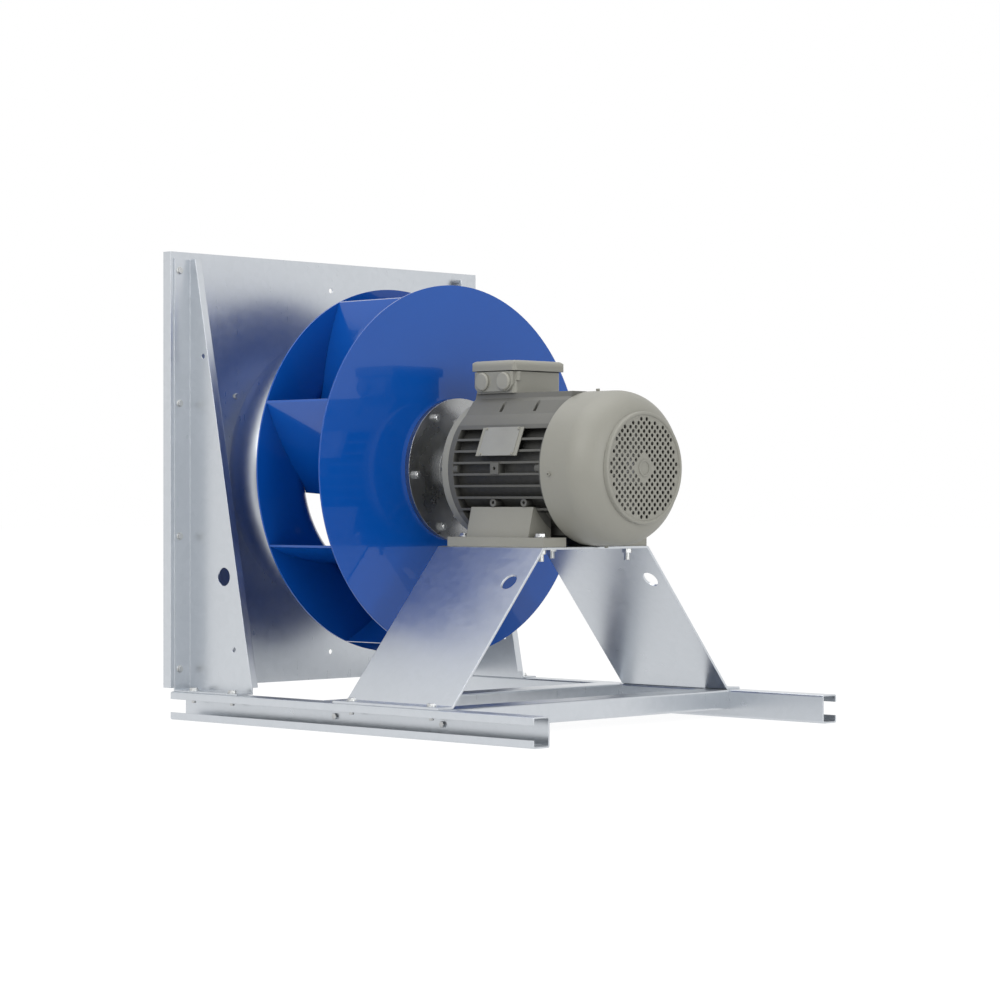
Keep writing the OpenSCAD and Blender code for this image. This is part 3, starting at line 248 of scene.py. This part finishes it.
def brushGroup():
    # rolling or turning lines, stretched along one axis by the Stretch vector
    tree, gin, gout = newGroup("rollingLines", [
        ("Vector", "NodeSocketVector", None), ("Stretch", "NodeSocketVector", (1.0, 60.0, 60.0)),
        ("Scale", "NodeSocketFloat", 12.0),
    ], [("Mask", "NodeSocketFloat")])
    scaleNode = tree.nodes.new("ShaderNodeVectorMath")
    scaleNode.operation = "MULTIPLY"
    link(tree, gin.outputs["Vector"], scaleNode.inputs[0])
    link(tree, gin.outputs["Stretch"], scaleNode.inputs[1])
    noise = tree.nodes.new("ShaderNodeTexNoise")
    noise.inputs["Detail"].default_value = grain["brush"]["detail"]
    link(tree, scaleNode.outputs["Vector"], noise.inputs["Vector"])
    link(tree, gin.outputs["Scale"], noise.inputs["Scale"])
    mask = spread(tree, noise.outputs["Fac"], grain["brush"]["low"], grain["brush"]["high"])
    link(tree, mask, gout.inputs["Mask"])
    return tree


def wearGroup():
    # worn edges and settled dust, from the rounded normal and from which way a face looks
    tree, gin, gout = newGroup("wearAndDust", [
        ("Vector", "NodeSocketVector", None), ("Radius", "NodeSocketFloat", 0.0012),
        ("Wear Amount", "NodeSocketFloat", 0.6), ("Dust Amount", "NodeSocketFloat", 0.3),
    ], [("Wear", "NodeSocketFloat"), ("Dust", "NodeSocketFloat"), ("Normal", "NodeSocketVector")])
    soft = tree.nodes.new("ShaderNodeBevel")
    soft.samples = grain["edge"]["samples"]
    link(tree, gin.outputs["Radius"], soft.inputs["Radius"])
    face = tree.nodes.new("ShaderNodeNewGeometry")
    dot = tree.nodes.new("ShaderNodeVectorMath")
    dot.operation = "DOT_PRODUCT"
    link(tree, soft.outputs["Normal"], dot.inputs[0])
    link(tree, face.outputs["Normal"], dot.inputs[1])
    parts = tree.nodes.new("ShaderNodeSeparateXYZ")
    link(tree, face.outputs["Normal"], parts.inputs[0])

    def broken(where, spec):
        # an even mask, broken up into patches
        noise = tree.nodes.new("ShaderNodeTexNoise")
        noise.inputs["Scale"].default_value = spec["scale"]
        noise.inputs["Detail"].default_value = spec["detail"]
        link(tree, gin.outputs["Vector"], noise.inputs["Vector"])
        return reckon(tree, "MULTIPLY", where, spread(tree, noise.outputs["Fac"], spec["low"], spec["high"]))

    edge = spread(tree, dot.outputs["Value"], grain["edge"]["flat"], grain["edge"]["sharp"])
    up = spread(tree, parts.outputs["Z"], grain["dust"]["steep"], grain["dust"]["level"])
    for label, where, spec in (("Wear", edge, grain["edge"]), ("Dust", up, grain["dust"])):
        amount = reckon(tree, "MULTIPLY", broken(where, spec), gin.outputs[label + " Amount"])
        link(tree, amount, gout.inputs[label])
    link(tree, soft.outputs["Normal"], gout.inputs["Normal"])
    return tree


groups = {"clouds": cloudGroup(), "crystals": crystalGroup(), "lines": brushGroup(), "wear": wearGroup()}


def newFinish(name):
    material = bpy.data.materials.new(name)
    material.use_nodes = True
    tree = material.node_tree
    place = tree.nodes.new("ShaderNodeTexCoord").outputs["Object"]
    return material, tree, tree.nodes["Principled BSDF"], place


def useGroup(tree, key, place, **values):
    node = tree.nodes.new("ShaderNodeGroup")
    node.node_tree = groups[key]
    link(tree, place, node.inputs["Vector"])
    for label, value in values.items():
        node.inputs[label.replace("_", " ")].default_value = value
    return node


def mixed(tree, kind, factor, first, second):
    node = tree.nodes.new("ShaderNodeMix")
    node.data_type = kind
    link(tree, factor, node.inputs["Factor"])
    for socket, value in (("A", first), ("B", second)):
        feed(tree, (*value, 1) if isinstance(value, tuple) else value, node.inputs[socket])
    return node.outputs["Result"]


def mixColour(tree, factor, first, second):
    return mixed(tree, "RGBA", factor, first, second)


def mixValue(tree, factor, first, second):
    return mixed(tree, "FLOAT", factor, first, second)


def addBump(tree, shader, height, strength, distance, under=None):
    node = tree.nodes.new("ShaderNodeBump")
    node.inputs["Strength"].default_value = strength
    node.inputs["Distance"].default_value = distance
    link(tree, height, node.inputs["Height"])
    if under is not None:
        link(tree, under, node.inputs["Normal"])
    link(tree, node.outputs["Normal"], shader.inputs["Normal"])
    return node.outputs["Normal"]


paintBase = {
    "cloudDetail": 5.0, "peelDetail": 2.0, "peelLow": 0.3, "peelHigh": 0.7, "peelDepth": 0.0004, "dustRough": 0.85,
    "grainDetail": 6.0, "grainLow": 0.25, "grainHigh": 0.75, "grainDepth": 0.0006,
    "specular": 0.5, "coat": 0.0, "coatRough": 0.1, "coatIor": 1.5,
}
steelBase = {"cloudDetail": 5.0, "wear": 0.6, "dust": 0.2, "lineShare": 0.3, "bumpDepth": 0.0002}


def sheetZinc(name, spec):
    material, tree, shader, place = newFinish(name)
    cells = useGroup(tree, "crystals", place, Scale=spec["crystalScale"])
    clouds = useGroup(tree, "clouds", place, Scale=spec["cloudScale"], Detail=spec["cloudDetail"])
    lines = useGroup(tree, "lines", place, Stretch=spec["stretch"], Scale=spec["lineScale"])
    wear = useGroup(tree, "wear", place, Radius=spec["edge"], Wear_Amount=spec["wear"], Dust_Amount=spec["dust"])
    shade = mixColour(tree, cells.outputs["Shade"], spec["dark"], spec["light"])
    shade = mixColour(tree, mixValue(tree, clouds.outputs["Mask"], 0.0, spec["cloudShare"]), shade, spec["cloud"])
    shade = mixColour(tree, wear.outputs["Wear"], shade, spec["edgeColour"])
    shade = mixColour(tree, wear.outputs["Dust"], shade, spec["dustColour"])
    link(tree, shade, shader.inputs["Base Color"])
    rough = mixValue(tree, cells.outputs["Shade"], spec["rough"][0], spec["rough"][1])
    streaks = mixValue(tree, lines.outputs["Mask"], 0.0, spec["lineShare"])
    rough = mixValue(tree, streaks, rough, spec["rough"][1] + spec["lineRough"])
    rough = mixValue(tree, wear.outputs["Dust"], rough, spec["dustRough"])
    link(tree, rough, shader.inputs["Roughness"])
    shader.inputs["Metallic"].default_value = spec["metallic"]
    addBump(tree, shader, lines.outputs["Mask"], spec["bump"], spec["bumpDepth"], wear.outputs["Normal"])
    return material


def paint(name, ownSpec):
    spec = {**paintBase, **ownSpec}
    material, tree, shader, place = newFinish(name)
    clouds = useGroup(tree, "clouds", place, Scale=spec["cloudScale"], Detail=spec["cloudDetail"])
    peel = useGroup(tree, "clouds", place, Scale=spec["peelScale"], Detail=spec["peelDetail"],
                    Low=spec["peelLow"], High=spec["peelHigh"])
    wear = useGroup(tree, "wear", place, Radius=spec["edge"], Wear_Amount=spec["wear"], Dust_Amount=spec["dust"])
    shade = mixColour(tree, clouds.outputs["Mask"], spec["colour"], spec["colourTwo"])
    shade = mixColour(tree, wear.outputs["Wear"], shade, spec["under"])
    shade = mixColour(tree, wear.outputs["Dust"], shade, spec["dustColour"])
    link(tree, shade, shader.inputs["Base Color"])
    rough = mixValue(tree, clouds.outputs["Mask"], spec["rough"][0], spec["rough"][1])
    rough = mixValue(tree, wear.outputs["Dust"], rough, spec["dustRough"])
    link(tree, rough, shader.inputs["Roughness"])
    shader.inputs["Specular IOR Level"].default_value = spec["specular"]
    shader.inputs["Coat Weight"].default_value = spec["coat"]
    shader.inputs["Coat Roughness"].default_value = spec["coatRough"]
    shader.inputs["Coat IOR"].default_value = spec["coatIor"]
    addBump(tree, shader, peel.outputs["Mask"], spec["peel"], spec["peelDepth"], wear.outputs["Normal"])
    return material


def paintedFinShadeMask(tree, place, spec):
    # painted shade between the cooling fins: 1 at the bottom between them, 0 at their tips and away from them
    split = tree.nodes.new("ShaderNodeSeparateXYZ")
    link(tree, place, split.inputs[0])
    side = split.outputs["Y"]
    high = reckon(tree, "SUBTRACT", split.outputs["Z"], spec["axis"])
    squares = reckon(tree, "ADD", reckon(tree, "MULTIPLY", high, high), reckon(tree, "MULTIPLY", side, side))
    room = reckon(tree, "SUBTRACT", spec["tip"], reckon(tree, "SQRT", squares))
    deep = reckon(tree, "DIVIDE", room, spec["tip"] - spec["root"])
    deep = reckon(tree, "MINIMUM", reckon(tree, "MAXIMUM", deep, 0.0), 1.0)
    beside = reckon(tree, "LESS_THAN", reckon(tree, "ABSOLUTE", high), spec["reach"])
    return reckon(tree, "MULTIPLY", deep, beside)


def castPaint(name, ownSpec):
    # paint over a sand casting: coarse and fine grain under it
    spec = {**paintBase, **ownSpec}
    material = paint(name, spec)
    tree = material.node_tree
    shader = tree.nodes["Principled BSDF"]
    place = next(n for n in tree.nodes if n.type == "TEX_COORD").outputs["Object"]
    coarse = useGroup(tree, "clouds", place, Scale=spec["grainScale"], Detail=spec["grainDetail"],
                      Low=spec["grainLow"], High=spec["grainHigh"])
    under = shader.inputs["Normal"].links[0].from_socket
    addBump(tree, shader, coarse.outputs["Mask"], spec["grain"], spec["grainDepth"], under)
    if "valley" in spec:
        # painted shade, darker towards the bottom between the cooling fins, broken up by the coarse grain
        unshadedColour = shader.inputs["Base Color"].links[0].from_socket
        paintedShade = mixColour(tree, coarse.outputs["Mask"], spec["valley"]["dark"], spec["valley"]["light"])
        link(tree, mixColour(tree, paintedFinShadeMask(tree, place, spec["valley"]), unshadedColour, paintedShade),
             shader.inputs["Base Color"])
    return material


def turnedSteel(name, ownSpec):
    spec = {**steelBase, **ownSpec}
    material, tree, shader, place = newFinish(name)
    lines = useGroup(tree, "lines", place, Stretch=spec["stretch"], Scale=spec["lineScale"])
    clouds = useGroup(tree, "clouds", place, Scale=spec["cloudScale"], Detail=spec["cloudDetail"])
    wear = useGroup(tree, "wear", place, Radius=spec["edge"], Wear_Amount=spec["wear"], Dust_Amount=spec["dust"])
    shade = mixColour(tree, clouds.outputs["Mask"], spec["dark"], spec["light"])
    shade = mixColour(tree, mixValue(tree, lines.outputs["Mask"], 0.0, spec["lineShare"]), shade, spec["line"])
    shade = mixColour(tree, wear.outputs["Wear"], shade, spec["edgeColour"])
    link(tree, shade, shader.inputs["Base Color"])
    rough = mixValue(tree, lines.outputs["Mask"], spec["rough"][0], spec["rough"][1])
    link(tree, rough, shader.inputs["Roughness"])
    shader.inputs["Metallic"].default_value = spec["metallic"]
    addBump(tree, shader, lines.outputs["Mask"], spec["bump"], spec["bumpDepth"], wear.outputs["Normal"])
    return material


zincBase = {
    "dark": (0.570, 0.598, 0.630), "light": (0.595, 0.622, 0.655), "cloud": (0.555, 0.585, 0.620),
    "edgeColour": (0.74, 0.755, 0.77), "rough": (0.27, 0.30), "metallic": 1.0, "edge": 0.0012,
    "crystalScale": 95.0, "cloudScale": 2.2, "cloudDetail": 3.0, "cloudShare": 0.35,
    "lineScale": 9.0, "lineShare": 0.4, "lineRough": 0.05, "stretch": (1.0, 40.0, 1.0),
    "wear": 0.5, "dust": 0.25, "dustColour": (0.55, 0.55, 0.53), "dustRough": 0.8,
    "bump": 0.06, "bumpDepth": 0.0002,
}
finishes = {
    "galvanised_sheet": sheetZinc("galvanisedSheet", zincBase),
    "zinc_fastener": turnedSteel("zincPlate", {
        "dark": (0.46, 0.47, 0.475), "light": (0.56, 0.57, 0.565), "line": (0.62, 0.62, 0.60),
        "edgeColour": (0.72, 0.72, 0.71), "rough": (0.26, 0.4), "metallic": 1.0, "edge": 0.0007,
        "stretch": (60.0, 60.0, 1.0), "lineScale": 14.0, "cloudScale": 90.0, "bump": 0.1}),
    "dark_screw": turnedSteel("blackOxide", {
        "dark": (0.05, 0.05, 0.055), "light": (0.12, 0.12, 0.12), "line": (0.16, 0.16, 0.16),
        "edgeColour": (0.40, 0.40, 0.40), "rough": (0.35, 0.5), "metallic": 0.8, "edge": 0.0006,
        "stretch": (50.0, 50.0, 1.0), "lineScale": 12.0, "cloudScale": 80.0, "bump": 0.1}),
    "motor_paint": castPaint("motorPaint", {
        "colour": (0.232, 0.229, 0.198), "colourTwo": (0.252, 0.248, 0.215), "under": (0.36, 0.355, 0.32),
        "dustColour": (0.31, 0.305, 0.275), "rough": (0.42, 0.55), "wear": 0.35, "dust": 0.3, "edge": 0.0016,
        "cloudScale": 7.0, "peelScale": 420.0, "peel": 0.10, "grainScale": 130.0, "grain": 0.16, "specular": 0.5}),
    "seal_rubber": paint("sealRubber", {
        "colour": (0.012, 0.012, 0.013), "colourTwo": (0.02, 0.02, 0.02), "under": (0.05, 0.05, 0.05),
        "dustColour": (0.10, 0.10, 0.10), "rough": (0.6, 0.75), "wear": 0.3, "dust": 0.3, "edge": 0.0006,
        "cloudScale": 60.0, "peelScale": 600.0, "peel": 0.2}),
    "core_steel": turnedSteel("laminations", {
        "dark": (0.16, 0.16, 0.17), "light": (0.24, 0.24, 0.25), "line": (0.10, 0.10, 0.11),
        "edgeColour": (0.35, 0.35, 0.35), "rough": (0.4, 0.55), "metallic": 0.8, "edge": 0.0008,
        "stretch": (120.0, 1.0, 1.0), "lineScale": 16.0, "cloudScale": 20.0, "bump": 0.4}),
    "copper_winding": turnedSteel("varnishedCopper", {
        "dark": (0.30, 0.10, 0.04), "light": (0.45, 0.18, 0.08), "line": (0.20, 0.06, 0.02),
        "edgeColour": (0.5, 0.22, 0.1), "rough": (0.3, 0.45), "metallic": 0.7, "edge": 0.001,
        "stretch": (120.0, 4.0, 4.0), "lineScale": 14.0, "cloudScale": 20.0, "bump": 0.6}),
    "bearing_steel": turnedSteel("bearingSteel", {
        "dark": (0.55, 0.56, 0.57), "light": (0.66, 0.67, 0.68), "line": (0.72, 0.72, 0.72),
        "edgeColour": (0.8, 0.8, 0.8), "rough": (0.12, 0.2), "metallic": 1.0, "edge": 0.0005,
        "stretch": (90.0, 2.0, 2.0), "lineScale": 14.0, "cloudScale": 30.0, "bump": 0.05}),
    "block_plastic": paint("blockPlastic", {
        "colour": (0.02, 0.02, 0.022), "colourTwo": (0.03, 0.03, 0.032), "under": (0.07, 0.07, 0.07),
        "dustColour": (0.12, 0.12, 0.12), "rough": (0.4, 0.55), "wear": 0.2, "dust": 0.3, "edge": 0.0008,
        "cloudScale": 40.0, "peelScale": 500.0, "peel": 0.1}),
    "plug_plastic": paint("plugPlastic", {
        "colour": (0.262, 0.258, 0.225), "colourTwo": (0.285, 0.28, 0.245), "under": (0.40, 0.39, 0.36),
        "dustColour": (0.4, 0.4, 0.36), "rough": (0.38, 0.5), "wear": 0.25, "dust": 0.3, "edge": 0.001,
        "cloudScale": 30.0, "peelScale": 500.0, "peel": 0.08}),
    "plate_aluminium": turnedSteel("plateAluminium", {
        "dark": (0.26, 0.26, 0.24), "light": (0.295, 0.295, 0.272), "line": (0.32, 0.32, 0.297),
        "edgeColour": (0.48, 0.48, 0.47), "rough": (0.42, 0.52), "metallic": 0.35, "edge": 0.0006,
        "stretch": (1.0, 60.0, 60.0), "lineScale": 20.0, "cloudScale": 14.0, "bump": 0.06}),
    "earth_brass": turnedSteel("earthBrass", {
        "dark": (0.55, 0.38, 0.12), "light": (0.68, 0.5, 0.2), "line": (0.75, 0.58, 0.3),
        "edgeColour": (0.8, 0.66, 0.4), "rough": (0.25, 0.4), "metallic": 1.0, "edge": 0.0005,
        "stretch": (60.0, 60.0, 1.0), "lineScale": 14.0, "cloudScale": 60.0, "bump": 0.08}),
    "shaft_steel": turnedSteel("turnedShaft", {
        "dark": (0.50, 0.51, 0.52), "light": (0.62, 0.63, 0.64), "line": (0.70, 0.70, 0.70),
        "edgeColour": (0.78, 0.78, 0.78), "rough": (0.18, 0.32), "metallic": 1.0, "edge": 0.0008,
        "stretch": (140.0, 1.0, 1.0), "lineScale": 12.0, "cloudScale": 20.0, "bump": 0.15}),
    # the fan's own grey, lightened as painted light so the shaded inside of the fan cover looks paler through the
    # grille holes
    "fan_plastic": paint("fanPlastic", {
        "colour": (0.44, 0.44, 0.41), "colourTwo": (0.50, 0.50, 0.47), "under": (0.55, 0.55, 0.52),
        "dustColour": (0.50, 0.50, 0.46), "rough": (0.4, 0.55), "wear": 0.2, "dust": 0.4, "edge": 0.001,
        "cloudScale": 20.0, "peelScale": 450.0, "peel": 0.12}),
    "hub_iron": turnedSteel("machinedHub", {
        "dark": (0.33, 0.337, 0.34), "light": (0.41, 0.417, 0.42), "line": (0.48, 0.48, 0.475),
        "edgeColour": (0.6, 0.6, 0.58), "rough": (0.22, 0.34), "metallic": 1.0, "edge": 0.001,
        "stretch": (90.0, 3.0, 3.0), "lineScale": 9.0, "cloudScale": 14.0, "bump": 0.12}),
    "wheel_paint": paint("wheelBlue", {
        "colour": (0.002, 0.066, 0.335), "colourTwo": (0.003, 0.074, 0.355), "under": (0.02, 0.13, 0.46),
        "dustColour": (0.06, 0.13, 0.34), "rough": (0.16, 0.22), "wear": 0.125, "dust": 0.08, "edge": 0.0012,
        "cloudScale": 3.0, "peelScale": 260.0, "peel": 0.015,
        "specular": 0.15, "coat": 0.9, "coatRough": 0.02, "coatIor": 1.36}),
    # the motor paint darkened for the finned housing as painted shade, with more painted shade between the fins
    "housing_paint": castPaint("housingPaint", {
        "colour": (0.118, 0.118, 0.107), "colourTwo": (0.132, 0.131, 0.119), "under": (0.28, 0.275, 0.25),
        "dustColour": (0.2, 0.197, 0.18), "rough": (0.48, 0.6), "wear": 0.3, "dust": 0.25, "edge": 0.0014,
        "cloudScale": 9.0, "peelScale": 420.0, "peel": 0.10, "grainScale": 110.0, "grain": 0.22, "specular": 0.4,
        # painted shade between the cooling fins: its reach around the axis and its dark and light tones
        "valley": {"axis": 0.438, "root": 0.110, "tip": 0.127, "reach": 0.0745,
                   "dark": (0.028, 0.028, 0.026), "light": (0.044, 0.044, 0.040)}}),
}
# nodes whose finish differs from the rest of their slot: the cover screws painted over in the motor paint, the
# housing in a darker copy of the motor paint, painted shade
paintOf = {"motor_housing": "housing_paint", "cover_screws": "motor_paint"}
print("finishes ready:", len(finishes))


slotOf = {row["node"]: row["material_slot"] for row in frame["record"]["subparts"]}
bodyOf = {name: body for body, names in frame["record"]["behaviour"]["bodies"].items() for name in names}


def coverWith(piece, finish):
    if not piece.material_slots:
        piece.data.materials.append(finish)
    for held in piece.material_slots:
        held.material = finish


for name, piece in cadNodes.items():
    coverWith(piece, finishes[paintOf.get(name, slotOf[name])])
print("nodes dressed")


# castings, bolts and sheets whose edges are really rounded: node, width, segments
softEdges = {
    "terminal_lid": (0.0010, 3), "terminal_box": (0.0012, 3), "foot_left": (0.0016, 3),
    "foot_right": (0.0016, 3), "end_shield_drive": (0.0012, 2), "end_shield_fan": (0.0010, 2),
    "hub": (0.0009, 3), "back_disc": (0.0006, 2), "nameplate": (0.0003, 2), "entry_plugs": (0.0009, 3),
    "gusset_bolts": (0.0005, 2), "support_bolts": (0.0006, 2), "motor_bolts": (0.0008, 2),
    "hub_bolts": (0.0006, 2), "cross_member_bolts": (0.0005, 2), "nozzle_screws": (0.0005, 2),
    "foot_screws": (0.0005, 2), "end_shield_screws": (0.0004, 2), "cover_screws": (0.0004, 2),
    "lid_screws": (0.0004, 2), "shaft_screw": (0.0008, 2), "motor_support": (0.0006, 2),
}
flatAngle = math.radians(2.0)
edgeAngle = math.radians(32.0)
smoothAngle = math.radians(34.0)
mergeGap = 0.00001
flatWeight = 50


def pickOnly(piece):
    deselectAll()
    bpy.context.view_layer.objects.active = piece
    piece.select_set(True)


def evenShading(piece):
    # smooth bends, flat sheets: large faces keep their own normals
    pickOnly(piece)
    bpy.ops.object.shade_smooth_by_angle(angle=smoothAngle)
    even = piece.modifiers.new("evenShading", "WEIGHTED_NORMAL")
    even.keep_sharp = True
    even.weight = flatWeight
    bpy.ops.object.modifier_apply(modifier=even.name)


def softenedCopy(name, width, segments, camelName):
    # the CAD mesh merged, its flats joined again and its sharp edges rounded
    source = cadNodes[name]
    piece = source.copy()
    piece.data = source.data.copy()
    piece.name = camelName
    bpy.context.collection.objects.link(piece)
    pickOnly(piece)
    bpy.ops.object.mode_set(mode="EDIT")
    bpy.ops.mesh.select_all(action="SELECT")
    bpy.ops.mesh.remove_doubles(threshold=mergeGap)
    bpy.ops.mesh.dissolve_limited(angle_limit=flatAngle)
    bpy.ops.object.mode_set(mode="OBJECT")
    bevel = piece.modifiers.new("roundEdges", "BEVEL")
    bevel.width = width
    bevel.segments = segments
    bevel.limit_method = "ANGLE"
    bevel.angle_limit = edgeAngle
    bpy.ops.object.modifier_apply(modifier=bevel.name)
    evenShading(piece)
    return piece


def camel(name):
    words = name.split("_")
    return words[0] + "".join(word.capitalize() for word in words[1:])


def finishPiece(piece, body, slot, *replaced):
    coverWith(piece, finishes[paintOf.get(replaced[0], slot) if replaced else slot])
    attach(piece, body)
    if replaced:
        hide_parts(*replaced)


softPieces = {}
for node, (width, segments) in softEdges.items():
    softPieces[node] = softenedCopy(node, width, segments, camel(node) + "Softened")
    finishPiece(softPieces[node], bodyOf[node], slotOf[node], node)
    print("softened", node, len(softPieces[node].data.polygons))

# flat washers under the bolt heads: radii, thickness, and where each family sits
washer = {
    "small": {"inner": 0.0032, "outer": 0.0068, "thick": 0.0012},
    "middle": {"inner": 0.0042, "outer": 0.0088, "thick": 0.0016},
    "large": {"inner": 0.0052, "outer": 0.0108, "thick": 0.0020},
    "bevel": 0.0003, "segments": 2, "sides": 32,
}
axisHeight = 0.438
boltLine = 0.3615
footLine = 0.108
gussetSpan = 0.7
washerRows = [
    ("gussetWasher", "small", "x", [(-0.426, side * boltLine, axisHeight + gussetSpan * (i / 3 - 0.5))
                                    for side in (-1, 1) for i in range(4)]),
    ("gussetFootWasher", "middle", "z", [(x, side * boltLine, 0.0515)
                                         for side in (-1, 1) for x in (-0.3875, -0.2845)]),
    ("supportWasher", "middle", "z", [(x, side * boltLine, 0.053)
                                      for side in (-1, 1) for x in (0.0175, 0.2055)]),
    ("motorWasher", "large", "z", [(x, side * footLine, 0.322)
                                   for side in (-1, 1) for x in (0.0295, 0.2075)]),
]


def washerPattern(size):
    # a ring of faces, given its thickness and rounded edges, flat on z = 0 at the origin
    spec = washer[size]
    deselectAll()
    bpy.ops.mesh.primitive_circle_add(vertices=washer["sides"], radius=spec["inner"], fill_type="NOTHING")
    piece = bpy.context.object
    bpy.ops.object.mode_set(mode="EDIT")
    bpy.ops.mesh.select_all(action="SELECT")
    bpy.ops.mesh.extrude_edges_move()
    grow = spec["outer"] / spec["inner"]
    bpy.ops.transform.resize(value=(grow, grow, 1))
    bpy.ops.mesh.select_all(action="SELECT")
    bpy.ops.mesh.normals_make_consistent(inside=False)
    bpy.ops.object.mode_set(mode="OBJECT")
    wall = piece.modifiers.new("thickness", "SOLIDIFY")
    wall.thickness = spec["thick"]
    wall.offset = 1.0 if piece.data.polygons[0].normal.z > 0 else -1.0
    bpy.ops.object.modifier_apply(modifier=wall.name)
    edge = piece.modifiers.new("roundEdges", "BEVEL")
    edge.width = washer["bevel"]
    edge.segments = washer["segments"]
    bpy.ops.object.modifier_apply(modifier=edge.name)
    bpy.ops.object.shade_smooth_by_angle(angle=smoothAngle)
    return piece


def placedCopy(pattern, name, matrix):
    piece = pattern.copy()
    piece.data = pattern.data.copy()
    piece.name = name
    bpy.context.collection.objects.link(piece)
    piece.data.transform(matrix)
    return piece


def joined(pieces, name):
    deselectAll()
    for piece in pieces:
        piece.select_set(True)
    bpy.context.view_layer.objects.active = pieces[0]
    bpy.ops.object.join()
    pieces[0].name = name
    return pieces[0]


patterns = {size: washerPattern(size) for size in ("small", "middle", "large")}
for name, size, axis, places in washerRows:
    turn = Matrix.Rotation(math.radians(90), 4, "Y") if axis == "x" else Matrix.Identity(4)
    rings = [placedCopy(patterns[size], name + str(i), Matrix.Translation(place) @ turn)
             for i, place in enumerate(places)]
    finishPiece(joined(rings, name + "s"), "base", "zinc_fastener")
for pattern in patterns.values():
    bpy.data.objects.remove(pattern)
print("washers placed")

# weld beads where the blades stand on the back disc
bead = {
    "radius": 0.0027, "sides": 10, "steps": 36, "count": 8, "x": -0.1035,
    "wheelR": 0.326, "innerShare": 0.585, "sweep": 36.0, "camber": 24.0, "tipAngle": 24.0, "inset": 0.6,
    "uneven": 0.0003, "smooth": 60.0,
}


def beadPattern():
    # a ring swept along the blade's own arc, which lies in the plane across the shaft
    sweep = math.radians(bead["sweep"])
    inner = Vector((math.cos(sweep), math.sin(sweep))) * (bead["wheelR"] * bead["innerShare"])
    tip = Vector((bead["wheelR"], 0.0))
    chord = tip - inner
    half = math.radians(bead["camber"]) / 2
    radius = chord.length / 2 / math.sin(half)
    out = Vector((-chord.y, chord.x)).normalized()
    centre = (inner + tip) / 2 - out * radius * math.cos(half)
    low = math.atan2(tip.y - centre.y, tip.x - centre.x) + math.radians(bead["inset"])
    start = centre + Vector((math.cos(low), math.sin(low))) * radius
    deselectAll()
    bpy.ops.mesh.primitive_circle_add(
        vertices=bead["sides"], radius=bead["radius"], fill_type="NGON",
        location=(start.x, start.y, 0), rotation=(math.radians(90), 0, low))
    piece = bpy.context.object
    bpy.ops.object.transform_apply(location=True, rotation=True, scale=True)
    bpy.ops.object.mode_set(mode="EDIT")
    bpy.ops.mesh.select_all(action="SELECT")
    bpy.ops.mesh.spin(steps=bead["steps"], angle=-math.radians(bead["camber"] - 2 * bead["inset"]),
                      center=(centre.x, centre.y, 0), axis=(0, 0, 1), use_normal_flip=False)
    bpy.ops.mesh.select_all(action="SELECT")
    bpy.ops.mesh.remove_doubles(threshold=mergeGap)
    bpy.ops.mesh.normals_make_consistent(inside=False)
    # a welded bead is never even
    bpy.ops.transform.vertex_random(offset=bead["uneven"], uniform=0.0, normal=1.0, seed=5)
    bpy.ops.object.mode_set(mode="OBJECT")
    bpy.ops.object.shade_smooth_by_angle(angle=math.radians(bead["smooth"]))
    return piece


# local x points down and local z along the shaft, as in the wheel's own drawing
downShaft = Matrix(((0, 0, 1, bead["x"]), (0, 1, 0, 0), (-1, 0, 0, axisHeight), (0, 0, 0, 1)))
beadStart = beadPattern()
beads = []
for i in range(bead["count"]):
    turn = Matrix.Rotation(math.radians(180 + bead["tipAngle"] + i * 360 / bead["count"]), 4, "Z")
    beads.append(placedCopy(beadStart, "bladeBead" + str(i), downShaft @ turn))
bpy.data.objects.remove(beadStart)
finishPiece(joined(beads, "bladeWeldBeads"), "rotor", "wheel_paint")
print("weld beads placed")

# in the picture the hub bolts' tips are cut back to end just past their nuts
hubTips = {"from": -0.0838, "to": -0.0820}
for vertex in softPieces["hub_bolts"].data.vertices:
    if vertex.co.x > hubTips["from"]:
        vertex.co.x = min(vertex.co.x, hubTips["to"])
